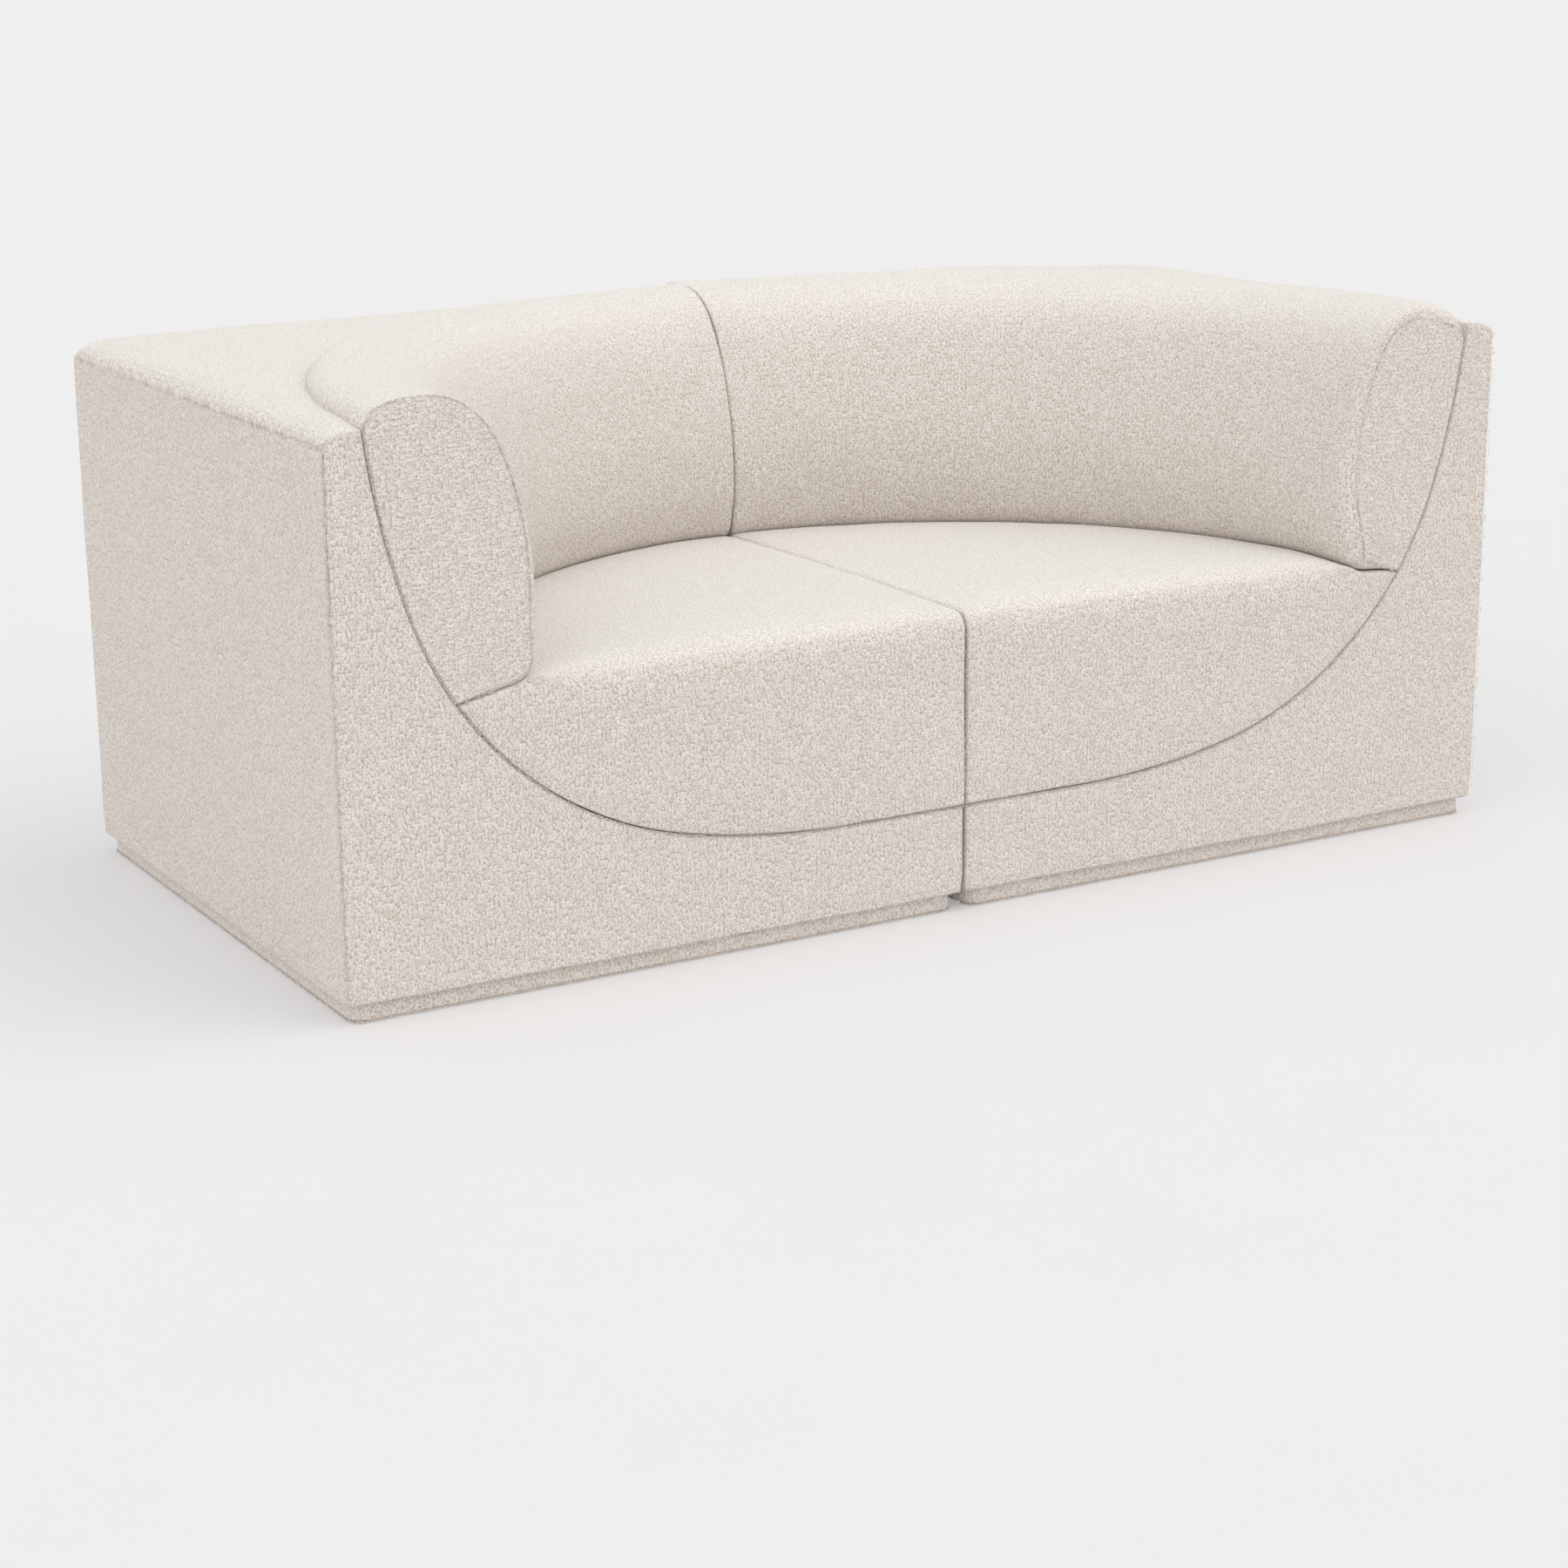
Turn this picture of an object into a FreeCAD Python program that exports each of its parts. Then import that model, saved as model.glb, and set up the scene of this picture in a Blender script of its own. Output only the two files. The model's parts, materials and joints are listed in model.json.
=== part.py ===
import FreeCAD, Part

import math
import os

import Sketcher

# A low modular sofa made of two square corner modules that are mirror images of each other.
# Each module is a boxy shell with a bowl-shaped quarter-round recess about its inner front
# corner. A quarter-ring back bolster and a quarter-disc seat fill the recess. A covered plinth,
# set back under the shell, carries the module on four glides.
#
# Frame: +X to the right along the front, +Y to the back, +Z up, origin on the floor at the middle
# of the whole sofa. The right module is modelled piece by piece. Its own corner, where the recess
# has its axis, is at (gap / 2, -side / 2, 0). The left module is its mirror image in x = 0.
#
# Heights are above the floor. Radii are from the recess axis.

SIZES = {
    "side": (862, "outer width and depth of one module"),
    "gap": (4, "space between the two modules"),
    "skirt": (25, "height of the plinth, where the shell begins"),
    "inset": (10, "plinth set back under the shell"),
    "band": (2, "thickness of the fabric round the plinth"),
    "band_round": (15, "rounding of the plinth's upright corners"),
    "rail_wide": (30, "width of a plinth rail"),
    "glide_high": (3, "height of a glide"),
    "glide_radius": (12, "radius of a glide"),
    "screw_radius": (2, "shank of a plinth screw"),
    "head_radius": (4, "head of a plinth screw"),
    "head_high": (2.5, "thickness of a screw head"),
    "screw_top": (38, "tip of a plinth screw"),
    "slack": (0.2, "radial play round a screw"),
    "base_thick": (18, "thickness of the base board"),
    "padding": (16, "foam-backed cover on the shell faces"),
    "ply": (15, "thickness of the frame boards"),
    "seam_high": (686, "seam between the shell walls and the top"),
    "crown_high": (705, "crowned top of the shell"),
    "crown_round": (17, "rounding of the top cover's outer edge"),
    "deck_high": (97, "underside of the seat deck"),
    "strap_thick": (2, "thickness of a webbing strap"),
    "strap_wide": (50, "width of a webbing strap"),
    "strap_pitch": (80, "spacing of the webbing straps"),
    "former_radius": (813, "inside of the bent plywood wall"),
    "former_thick": (6, "thickness of the bent plywood wall"),
    "rim_radius": (812, "recess radius at its rim"),
    "rim_high": (715, "height of the recess rim"),
    "arc_one": (1000, "radius of the recess wall near the rim"),
    "arc_two": (482, "radius of the recess wall at mid height"),
    "arc_three": (1090, "radius of the recess where it flattens"),
    "rim_angle": (5, "lean of the wall at the rim"),
    "mid_angle": (18.4, "lean where the second arc begins"),
    "low_angle": (77.4, "lean where the third arc begins"),
    "foot_angle": (33.7, "lean where the bolster's foot meets the wall"),
    "lip_angle": (5.6, "lean where the bolster's top leaves the wall"),
    "top_radius": (736, "radius of the bolster's highest line"),
    "top_high": (738, "height of the bolster"),
    "nose_radius": (100, "rounding of the bolster towards the seat"),
    "nose_angle": (64.4, "turn of that rounding"),
    "belly_radius": (400, "curve of the bolster's inner face"),
    "cheek_radius": (230, "slight curve of the bolster's top"),
    "cheek_angle": (14, "turn of that curve"),
    "lip_radius": (30, "rounding of the bolster's outer top edge"),
    "toe_radius": (28, "rounding under the bolster's inner face"),
    "toe_high": (420, "height where that rounding begins"),
    "toe_angle": (80, "turn of that rounding"),
    "crease_angle": (25, "turn where the seat meets the bolster"),
    "seat_high": (406, "seat surface above the floor"),
    "seat_round": (24, "rounding of the seat's front and joint edges"),
    "core_margin": (20, "cover and wadding over the ends of a foam core"),
    "batten": (25, "width of a glue batten"),
    "post": (45, "corner post and deck rail section"),
    "batten_start": (216, "where the battens begin, clear of the bent wall"),
    "window_near": (135, "near edge of the seat deck's window"),
    "window_far": (500, "far edge of the seat deck's window"),
    "deck_rail_end": (776, "end of the long deck rails"),
    "strap_start": (85, "front end of a webbing strap"),
    "strap_end": (560, "back end of a webbing strap"),
    "butt": (0.5, "space where two rails butt"),
    "free_space": (5, "space between pieces that don't touch"),
    "screw_step": (35, "distance of a corner screw from its glide"),
    "tongue_wide": (30, "width of a connector tongue"),
    "tongue_thick": (8, "thickness of a connector tongue"),
    "tongue_reach": (62, "how far a tongue stands out of the joint face"),
    "tongue_high": (75, "underside of a connector tongue"),
    "play": (1, "play round a connector tongue"),
    "plate": (3, "thickness of a connector flange"),
    "flange_low": (64, "lower edge of a connector flange"),
    "flange_top": (94, "upper edge of a connector flange"),
    "socket_deep": (41, "depth of a connector socket"),
    "front_link": (150, "distance of the first connector from the front"),
    "back_link": (700, "distance of the second connector from the front"),
}

ABOVE = 760  # clear of everything on the sofa
STRAPS = 5
MIRROR_NORMAL = FreeCAD.Vector(1, 0, 0)


class Size:
    """A length or angle that remembers the spreadsheet expression it comes from."""

    def __init__(self, value, text):
        self.value = value
        self.text = text

    def joined(self, other, sign, value):
        text = other.text if isinstance(other, Size) else repr(other)
        return Size(value, f"({self.text} {sign} {text})")

    def __add__(self, other):
        return self.joined(other, "+", self.value + number(other))

    def __sub__(self, other):
        return self.joined(other, "-", self.value - number(other))

    def __mul__(self, other):
        return self.joined(other, "*", self.value * number(other))

    def __truediv__(self, other):
        return self.joined(other, "/", self.value / number(other))


def number(length):
    return length.value if isinstance(length, Size) else length


def as_size(length):
    return length if isinstance(length, Size) else Size(length, repr(length))


def cosine(angle):
    return Size(math.cos(math.radians(angle.value)), f"cos({angle.text})")


def sine(angle):
    return Size(math.sin(math.radians(angle.value)), f"sin({angle.text})")


doc = FreeCAD.newDocument("corner_module_sofa")
sheet = doc.addObject("Spreadsheet::Sheet", "dims")
for row, (alias, (value, note)) in enumerate(SIZES.items(), start=1):
    sheet.set(f"A{row}", note)
    sheet.set(f"B{row}", str(value))
    sheet.setAlias(f"B{row}", alias)
doc.recompute()
dim = {alias: Size(value, f"dims.{alias}") for alias, (value, note) in SIZES.items()}

side, skirt, padding, ply = dim["side"], dim["skirt"], dim["padding"], dim["ply"]
corner_x = dim["gap"] / 2
corner_y = side / -2
inner = side - padding  # inside of the covers
frame_low = skirt + dim["base_thick"]  # top of the base board
frame_top = dim["seam_high"] - ply  # underside of the top deck
behind_cover = padding + ply  # inside of the gables
behind_panel = inner - ply  # inside of the outer panels


# ---- how the features are made ------------------------------------------------------------


def bind(feature, prop, length):
    """Sets one property, from the spreadsheet wherever it depends on it."""
    if isinstance(length, Size):
        feature.setExpression(prop, length.text)
    elif "." in prop:
        feature.setExpression(prop, str(length))
    else:
        setattr(feature, prop, length)


def place(feature, x, y, z):
    """Puts a feature's own origin at a point of the right module."""
    bind(feature, "Placement.Base.x", corner_x + x)
    bind(feature, "Placement.Base.y", corner_y + y)
    bind(feature, "Placement.Base.z", z)
    return feature


def box(name, x, y, z):
    """A block given by its (low, high) along each axis of the right module."""
    block = doc.addObject("Part::Box", name)
    for prop, (low, high) in zip(("Length", "Width", "Height"), (x, y, z), strict=True):
        bind(block, prop, as_size(high) - low)
    return place(block, x[0], y[0], z[0])


def rod(name, x, y, z, radius):
    """An upright cylinder from z[0] to z[1]."""
    cylinder = doc.addObject("Part::Cylinder", name)
    bind(cylinder, "Radius", radius)
    bind(cylinder, "Height", as_size(z[1]) - z[0])
    return place(cylinder, x, y, z[0])


def cut(name, base, *tools):
    """The base without the tools."""
    result = doc.addObject("Part::Cut", name)
    result.Base = base
    result.Tool = tools[0] if len(tools) == 1 else group(name + "_tools", tools)
    return result


def group(name, features):
    """Separate solids kept together under one name."""
    bundle = doc.addObject("Part::Compound", name)
    bundle.Links = list(features)
    return bundle


def fuse(name, features):
    joined = doc.addObject("Part::MultiFuse", name)
    joined.Shapes = list(features)
    return joined


def common(name, base, tool):
    shared = doc.addObject("Part::Common", name)
    shared.Base = base
    shared.Tool = tool
    return shared


def arc_between(start, end, radius, clockwise):
    """The shorter arc of that radius from start to end, as sketch geometry."""
    mid_x, mid_y = (start[0] + end[0]) / 2, (start[1] + end[1]) / 2
    dx, dy = end[0] - start[0], end[1] - start[1]
    chord = math.hypot(dx, dy)
    rise = math.sqrt(radius**2 - chord**2 / 4) / chord
    turn = 1 if clockwise else -1
    centre = FreeCAD.Vector(mid_x + turn * dy * rise, mid_y - turn * dx * rise, 0)
    first, last = (end, start) if clockwise else (start, end)
    angles = [math.atan2(p[1] - centre.y, p[0] - centre.x) for p in (first, last)]
    circle = Part.Circle(centre, FreeCAD.Vector(0, 0, 1), radius)
    return Part.ArcOfCircle(circle, angles[0], angles[1])


def outline(body, role, points, arcs):
    """A closed sketch on an origin plane. Every corner is bound to the spreadsheet, and arcs maps
    the index of a side's first corner to its (radius, clockwise)."""
    sketch = body.newObject("Sketcher::SketchObject", body.Name + "_outline")
    plane = [f for f in body.Origin.OriginFeatures if f.Role == role][0]
    sketch.AttachmentSupport = [(plane, "")]
    sketch.MapMode = "FlatFace"
    flat = [(number(x), number(y)) for x, y in points]
    ends = []  # for each side, which ends of its geometry are its first and last corner
    for index, start in enumerate(flat):
        end = flat[(index + 1) % len(flat)]
        if index in arcs:
            radius, clockwise = arcs[index]
            sketch.addGeometry(arc_between(start, end, radius.value, clockwise), False)
            ends.append((2, 1) if clockwise else (1, 2))
        else:
            line = Part.LineSegment(FreeCAD.Vector(*start, 0), FreeCAD.Vector(*end, 0))
            sketch.addGeometry(line, False)
            ends.append((1, 2))
    for index in range(len(flat)):
        following = (index + 1) % len(flat)
        sketch.addConstraint(
            Sketcher.Constraint("Coincident", index, ends[index][1], following, ends[following][0])
        )
    for index, point in enumerate(points):
        for kind, axis, length in (("DistanceX", -2, point[0]), ("DistanceY", -1, point[1])):
            if number(length) == 0:
                held = Sketcher.Constraint("PointOnObject", index, ends[index][0], axis)
                sketch.addConstraint(held)
                continue
            value = number(length)
            measure = Sketcher.Constraint(kind, -1, 1, index, ends[index][0], value)
            row = sketch.addConstraint(measure)
            if isinstance(length, Size):
                sketch.setExpression(f"Constraints[{row}]", length.text)
    for index, (radius, _) in arcs.items():
        row = sketch.addConstraint(Sketcher.Constraint("Radius", index, radius.value))
        sketch.setExpression(f"Constraints[{row}]", radius.text)
    return sketch


def quarter_turn(name, points, arcs=None):
    """A body made by turning an outline a quarter round the recess axis, from front to joint."""
    body = doc.addObject("PartDesign::Body", name)
    sketch = outline(body, "XZ_Plane", points, arcs or {})
    turned = body.newObject("PartDesign::Revolution", name + "_turned")
    turned.Profile = sketch
    turned.ReferenceAxis = (sketch, ["V_Axis"])
    turned.Angle = 90
    place(body, 0, 0, 0)
    return body


def quarter_disc(name, radius, low, high):
    return quarter_turn(name, [(0, low), (radius, low), (radius, high), (0, high)])


def round_edges(body, radius, chosen):
    """Adds a fillet on the edges whose middle point, in the body's own frame, passes the test."""
    doc.recompute()
    base = body.Tip
    names = []
    for index, edge in enumerate(base.Shape.Edges, start=1):
        middle = edge.valueAt((edge.FirstParameter + edge.LastParameter) / 2)
        if chosen(middle):
            names.append(f"Edge{index}")
    fillet = body.newObject("PartDesign::Fillet", body.Name + "_round")
    fillet.Base = (base, names)
    bind(fillet, "Radius", radius)
    return body


parts = []


def keep(feature, name):
    """Registers one finished piece of the right module under its plain name."""
    feature.Label = "right_" + name
    parts.append((feature, name))
    return feature


# ---- the recess and what fills it ---------------------------------------------------------


def wall_point(angle, arc, start, start_angle):
    """A point of the recess wall where it leans by angle, on the arc that begins at start."""
    x = start[0] - arc * (cosine(start_angle) - cosine(angle))
    z = start[1] - arc * (sine(angle) - sine(start_angle))
    return x, z


rim = (dim["rim_radius"], dim["rim_high"])
lip = wall_point(dim["lip_angle"], dim["arc_one"], rim, dim["rim_angle"])
waist = wall_point(dim["mid_angle"], dim["arc_one"], rim, dim["rim_angle"])
foot = wall_point(dim["foot_angle"], dim["arc_two"], waist, dim["mid_angle"])
hip = wall_point(dim["low_angle"], dim["arc_two"], waist, dim["mid_angle"])
flat_start = (
    hip[0] - dim["arc_three"] * cosine(dim["low_angle"]),
    hip[1] - dim["arc_three"] * (as_size(1) - sine(dim["low_angle"])),
)
bowl_low = flat_start[1]  # height of the recess floor

# The bolster's outline, from its lip over the top and down to its toe.
top = (dim["top_radius"], dim["top_high"])
cheek = (
    top[0] + dim["cheek_radius"] * sine(dim["cheek_angle"]),
    top[1] - dim["cheek_radius"] * (as_size(1) - cosine(dim["cheek_angle"])),
)
nose = (
    top[0] - dim["nose_radius"] * sine(dim["nose_angle"]),
    top[1] - dim["nose_radius"] * (as_size(1) - cosine(dim["nose_angle"])),
)
belly = (
    nose[0] - dim["belly_radius"] * (as_size(1) - sine(dim["nose_angle"])),
    nose[1] - dim["belly_radius"] * cosine(dim["nose_angle"]),
)
shin = (belly[0], dim["toe_high"])


def toe_point(angle):
    """A point on the rounding under the bolster's inner face."""
    x = shin[0] + dim["toe_radius"] * (as_size(1) - cosine(angle))
    return x, shin[1] - dim["toe_radius"] * sine(angle)


toe = toe_point(dim["toe_angle"])
crease = toe_point(dim["crease_angle"])

recess = quarter_turn(
    "recess",
    [(0, bowl_low), flat_start, hip, waist, rim, (rim[0], ABOVE), (0, ABOVE)],
    {1: (dim["arc_three"], False), 2: (dim["arc_two"], False), 3: (dim["arc_one"], False)},
)

seat_form = quarter_turn(
    "seat_form",
    [(0, bowl_low), flat_start, hip, foot, toe, crease, (0, dim["seat_high"])],
    {
        1: (dim["arc_three"], False),
        2: (dim["arc_two"], False),
        4: (dim["toe_radius"], True),
    },
)

bolster_form = quarter_turn(
    "bolster_form",
    [foot, waist, lip, cheek, top, nose, belly, shin, toe],
    {
        0: (dim["arc_two"], False),
        1: (dim["arc_one"], False),
        2: (dim["lip_radius"], False),
        3: (dim["cheek_radius"], False),
        4: (dim["nose_radius"], False),
        5: (dim["belly_radius"], False),
        7: (dim["toe_radius"], False),
    },
)


def foam_core(name, points):
    """A foam block turned about the recess axis and stopped short of both end faces."""
    margin = dim["core_margin"]
    block = quarter_turn(name + "_turned_block", points)
    limit = box(name + "_limit", (margin, side), (margin, side), (0, ABOVE))
    return common(name, block, limit)


def make_seat():
    core = foam_core(
        "seat_core", [(0, 162), (400, 190), (560, 256), (598, 300), (598, 350), (584, 384), (0, 384)]
    )
    seat_top = dim["seat_high"].value

    def on_front_or_joint(middle):
        return abs(middle.z - seat_top) < 3 and min(middle.x, middle.y) < 0.1

    round_edges(seat_form, dim["seat_round"], on_front_or_joint)
    keep(core, "seat_core")
    keep(cut("seat_cover", seat_form, core), "seat_cover")


def make_bolster():
    inside = [(790, 690), (785, 602), (752, 484), (702, 402), (646, 414), (628, 432)]
    over = [(628, 600), (650, 656), (700, 702), (760, 714)]
    core = foam_core("bolster_core", inside + over)
    keep(core, "bolster_core")
    keep(cut("bolster_cover", bolster_form, core), "bolster_cover")


# ---- the shell ----------------------------------------------------------------------------


def rounded_block(name, span, z, radius):
    """A block that is square in plan, with its upright edges rounded."""
    radius = as_size(radius)
    low, high = (as_size(end) for end in span)
    core = (low + radius, high - radius)
    blocks = [box(name + "_wide", span, core, z), box(name + "_deep", core, span, z)]
    rods = [
        rod(f"{name}_corner_{i}_{j}", x, y, z, radius)
        for i, x in enumerate(core)
        for j, y in enumerate(core)
    ]
    block = fuse(name, blocks + rods)
    block.Refine = True
    return block


def make_plinth():
    rail_in = dim["inset"] + dim["band"]
    wide = dim["rail_wide"]
    middle = rail_in + wide / 2
    rail_z = (dim["glide_high"], skirt)
    near = (rail_in, rail_in + wide)
    far = (side - rail_in - wide, side - rail_in)
    along = (rail_in, side - rail_in)
    between = (rail_in + wide + dim["butt"], side - rail_in - wide - dim["butt"])
    rails = group(
        "plinth_rail_set",
        [
            box("front_rail", along, near, rail_z),
            box("back_rail", along, far, rail_z),
            box("joint_rail", near, between, rail_z),
            box("outer_rail", far, between, rail_z),
        ],
    )
    spots = [
        (x, y)
        for x in (middle + dim["screw_step"], side / 2, side - middle - dim["screw_step"])
        for y in (middle, side - middle)
    ]
    spots += [(middle, side / 2), (side - middle, side / 2)]
    low = dim["glide_high"] + 1
    seat_z = low + dim["head_high"]
    screws, holes = [], []
    for index, (x, y) in enumerate(spots):
        head = rod(f"screw_head_{index}", x, y, (low, seat_z), dim["head_radius"])
        shank = rod(f"screw_shank_{index}", x, y, (seat_z, dim["screw_top"]), dim["screw_radius"])
        screws.append(fuse(f"screw_{index}", [head, shank]))
        sunk = dim["head_radius"] + dim["slack"]
        bored = dim["screw_radius"] + dim["slack"]
        holes.append(rod(f"sunk_hole_{index}", x, y, (0, seat_z), sunk))
        holes.append(rod(f"bored_hole_{index}", x, y, (seat_z, dim["screw_top"] + 1), bored))
    bores = group("screw_bores", holes)
    inside = (0, skirt + 1)
    inner_round = dim["band_round"] - dim["band"]
    rounded_rails = common("rounded_rails", rails, rounded_block("rail_limits", along, inside, inner_round))
    keep(cut("plinth_rails", rounded_rails, bores), "plinth_rails")
    keep(group("plinth_screws", screws), "plinth_screws")

    band_out = (dim["inset"], side - dim["inset"])
    band_z = (dim["glide_high"] - 1, skirt)
    ring = rounded_block("band_outside", band_out, band_z, dim["band_round"])
    hollow = rounded_block("band_inside", along, inside, inner_round)
    keep(cut("plinth_cover", ring, hollow), "plinth_cover")

    glides = [
        rod(f"glide_{i}_{j}", x, y, (0, dim["glide_high"]), dim["glide_radius"])
        for i, x in enumerate((middle, side - middle))
        for j, y in enumerate((middle, side - middle))
    ]
    keep(group("glides", glides), "glides")
    keep(box("dust_cover", between, between, (skirt - 1, skirt)), "dust_cover")

    board = box("base_board_blank", (padding, inner), (padding, inner), (skirt, frame_low))
    keep(cut("base_board", board, bores), "base_board")


def make_frame():
    wall_z = (frame_low, frame_top)
    within = (behind_cover, behind_panel)
    keep(box("outer_panel", (behind_panel, inner), within, wall_z), "outer_panel")
    keep(box("back_panel", (padding, inner), (behind_panel, inner), wall_z), "back_panel")
    gable = box("front_gable_blank", (padding, inner), (padding, behind_cover), wall_z)
    keep(cut("front_gable", gable, recess), "front_gable")
    gable = box("joint_gable_blank", (padding, behind_cover), within, wall_z)
    keep(cut("joint_gable", gable, recess, connector_slots), "joint_gable")
    deck = box("top_deck_blank", (padding, inner), (padding, inner), (frame_top, dim["seam_high"]))
    keep(cut("top_deck", deck, recess), "top_deck")

    post = dim["post"]
    corner = (behind_panel - post, behind_panel)
    keep(box("corner_post", corner, corner, wall_z), "corner_post")
    batten_z = (frame_low, frame_low + dim["batten"])
    outer = (behind_panel - dim["batten"], behind_panel)
    run = (dim["batten_start"], behind_panel - post - dim["free_space"])
    battens = [box("outer_batten", outer, run, batten_z), box("back_batten", run, outer, batten_z)]
    keep(group("base_battens", battens), "base_battens")

    # Bent plywood wall behind the bolster, standing on the base board.
    inside = dim["former_radius"]
    outside = inside + dim["former_thick"]
    ring = quarter_turn(
        "former_ring",
        [(inside, frame_low), (outside, frame_low), (outside, frame_top), (inside, frame_top)],
    )
    room = box("former_room", (behind_cover, side), (behind_cover, side), (0, ABOVE))
    keep(common("back_former", ring, room), "back_former")


def make_seat_deck():
    post, clear, near = dim["post"], dim["free_space"], dim["window_near"]
    rail_z = (frame_low, dim["deck_high"])
    far = (dim["window_far"], dim["window_far"] + post)
    front = (behind_cover, behind_cover + post)
    end = dim["deck_rail_end"]
    rails = [
        box("front_deck_rail", (near + clear, end), front, rail_z),
        box("joint_deck_rail", (near - post, near), (behind_cover, end), rail_z),
        box("outer_deck_rail", far, (front[1] + clear, far[0] - clear), rail_z),
        box("back_deck_rail", (near + clear, far[1]), far, rail_z),
    ]
    keep(group("deck_rails", rails), "deck_rails")

    deck_z = (dim["deck_high"], dim["deck_high"] + ply)
    edge = dim["rim_radius"]
    disc = quarter_disc("deck_disc", edge, *deck_z)
    room = box("deck_room", (behind_cover, side), (behind_cover, side), (0, ABOVE))
    window = box("deck_window", (near, far[0]), (near, far[0]), (0, ABOVE))
    keep(cut("seat_deck", common("deck_quarter", disc, room), window), "seat_deck")

    strap_z = (deck_z[1], deck_z[1] + dim["strap_thick"])
    straps = []
    strap_y = (dim["strap_start"], dim["strap_end"])
    for index in range(STRAPS):
        x = near + dim["strap_pitch"] * index
        straps.append(box(f"strap_{index}", (x, x + dim["strap_wide"]), strap_y, strap_z))
    keep(group("seat_webbing", straps), "seat_webbing")

    # Contoured foam bed between the deck, the bent wall and the recess.
    low = strap_z[1]
    bed = quarter_disc("foam_block", edge, low, frame_top)
    room = box("foam_room", (behind_cover, side), (behind_cover, side), (0, ABOVE))
    keep(cut("foam_bed", common("foam_quarter", bed, room), recess), "foam_bed")


def make_covers():
    wall_z = (skirt, dim["seam_high"])
    full = (0, side)
    front = box("front_cover_blank", full, (0, padding), wall_z)
    keep(cut("front_cover", front, recess), "front_cover")
    joint = box("joint_cover_blank", (0, padding), (padding, inner), wall_z)
    keep(cut("joint_cover", joint, recess, connector_slots), "joint_cover")
    keep(box("outer_cover", (inner, side), (padding, inner), wall_z), "outer_cover")
    keep(box("back_cover", full, (inner, side), wall_z), "back_cover")

    lid = doc.addObject("PartDesign::Body", "lid")
    sketch = outline(lid, "XY_Plane", [(0, 0), (side, 0), (side, side), (0, side)], {})
    raised = lid.newObject("PartDesign::Pad", "lid_raised")
    raised.Profile = sketch
    bind(raised, "Length", dim["crown_high"] - dim["seam_high"])
    place(lid, 0, 0, dim["seam_high"])
    lid_thick = (dim["crown_high"] - dim["seam_high"]).value
    round_edges(lid, dim["crown_round"], lambda middle: abs(middle.z - lid_thick) < 0.1)
    keep(cut("top_cover", lid, recess), "top_cover")


# ---- the connectors at the joint face -----------------------------------------------------


def link_box(name, centre, half, x, z):
    return box(name, x, (centre - half, centre + half), z)


links = {"front": dim["front_link"], "back": dim["back_link"]}
half_tongue = dim["tongue_wide"] / 2
slot_z = (dim["tongue_high"] - dim["play"], dim["tongue_high"] + dim["tongue_thick"] + dim["play"])
flange_z = (dim["flange_low"], dim["flange_top"])
flange_x = (behind_cover, behind_cover + dim["plate"])
connector_slots = group(
    "connector_slots",
    [
        link_box(f"{name}_slot", y, half_tongue + dim["play"], (-1, behind_cover + 1), slot_z)
        for name, y in links.items()
    ],
)


def make_tongues():
    """Steel tongues on the left module: drawn here on the right one and mirrored."""
    tongues = []
    tongue_z = (dim["tongue_high"], dim["tongue_high"] + dim["tongue_thick"])
    for name, y in links.items():
        reach = as_size(0) - dim["tongue_reach"]
        bar = link_box(f"{name}_bar", y, half_tongue, (reach, flange_x[1]), tongue_z)
        flange = link_box(f"{name}_flange", y, half_tongue + 10, flange_x, flange_z)
        tongues.append(fuse(f"{name}_tongue", [bar, flange]))
    return group("tongue_set", tongues)


def make_sockets():
    """Moulded sockets behind the right module's joint gable."""
    sockets = []
    for name, y in links.items():
        deep = behind_cover + dim["socket_deep"]
        sleeve_z = (slot_z[0] - dim["plate"], slot_z[1] + dim["plate"])
        half = half_tongue + dim["play"]
        sleeve = link_box(f"{name}_sleeve", y, half + dim["plate"], (flange_x[0], deep), sleeve_z)
        flange = link_box(f"{name}_socket_flange", y, half + 12, flange_x, flange_z)
        mouth = link_box(f"{name}_mouth", y, half, (padding, deep - dim["plate"]), slot_z)
        sockets.append(cut(f"{name}_socket", fuse(f"{name}_blank", [sleeve, flange]), mouth))
    return group("socket_set", sockets)


# ---- the whole sofa -----------------------------------------------------------------------

make_seat()
make_bolster()
make_plinth()
make_frame()
make_seat_deck()
make_covers()


def mirrored(feature, label):
    """The mirror image of a piece of the right module, on the left module."""
    image = doc.addObject("Part::Mirroring", label)
    image.Source = feature
    image.Base = FreeCAD.Vector(0, 0, 0)
    image.Normal = MIRROR_NORMAL
    image.Label = label
    return image


pieces = [feature for feature, name in parts]
pieces += [mirrored(feature, "left_" + name) for feature, name in parts]
pieces.append(mirrored(make_tongues(), "left_connector_tongues"))
sockets = make_sockets()
sockets.Label = "right_connector_sockets"
pieces.append(sockets)
doc.recompute()

for feature in doc.Objects:
    if "Invalid" in feature.State or "Error" in feature.State:
        raise RuntimeError(f"{feature.Label} is {feature.State}")
for piece in pieces:
    if piece.Shape.isNull() or not piece.Shape.isValid() or not piece.Shape.Solids:
        raise RuntimeError(f"{piece.Label} has no valid solid")

os.makedirs("parts", exist_ok=True)
for piece in pieces:
    piece.Shape.exportStep(f"parts/{piece.Label}.step")
    extent = piece.Shape.BoundBox
    print(
        f"{piece.Label}: {len(piece.Shape.Solids)} solid(s), {piece.Shape.Volume / 1e6:.3f} litres, "
        f"z {extent.ZMin:.1f} to {extent.ZMax:.1f}"
    )
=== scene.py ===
import json
import math
from dataclasses import dataclass, replace

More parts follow.
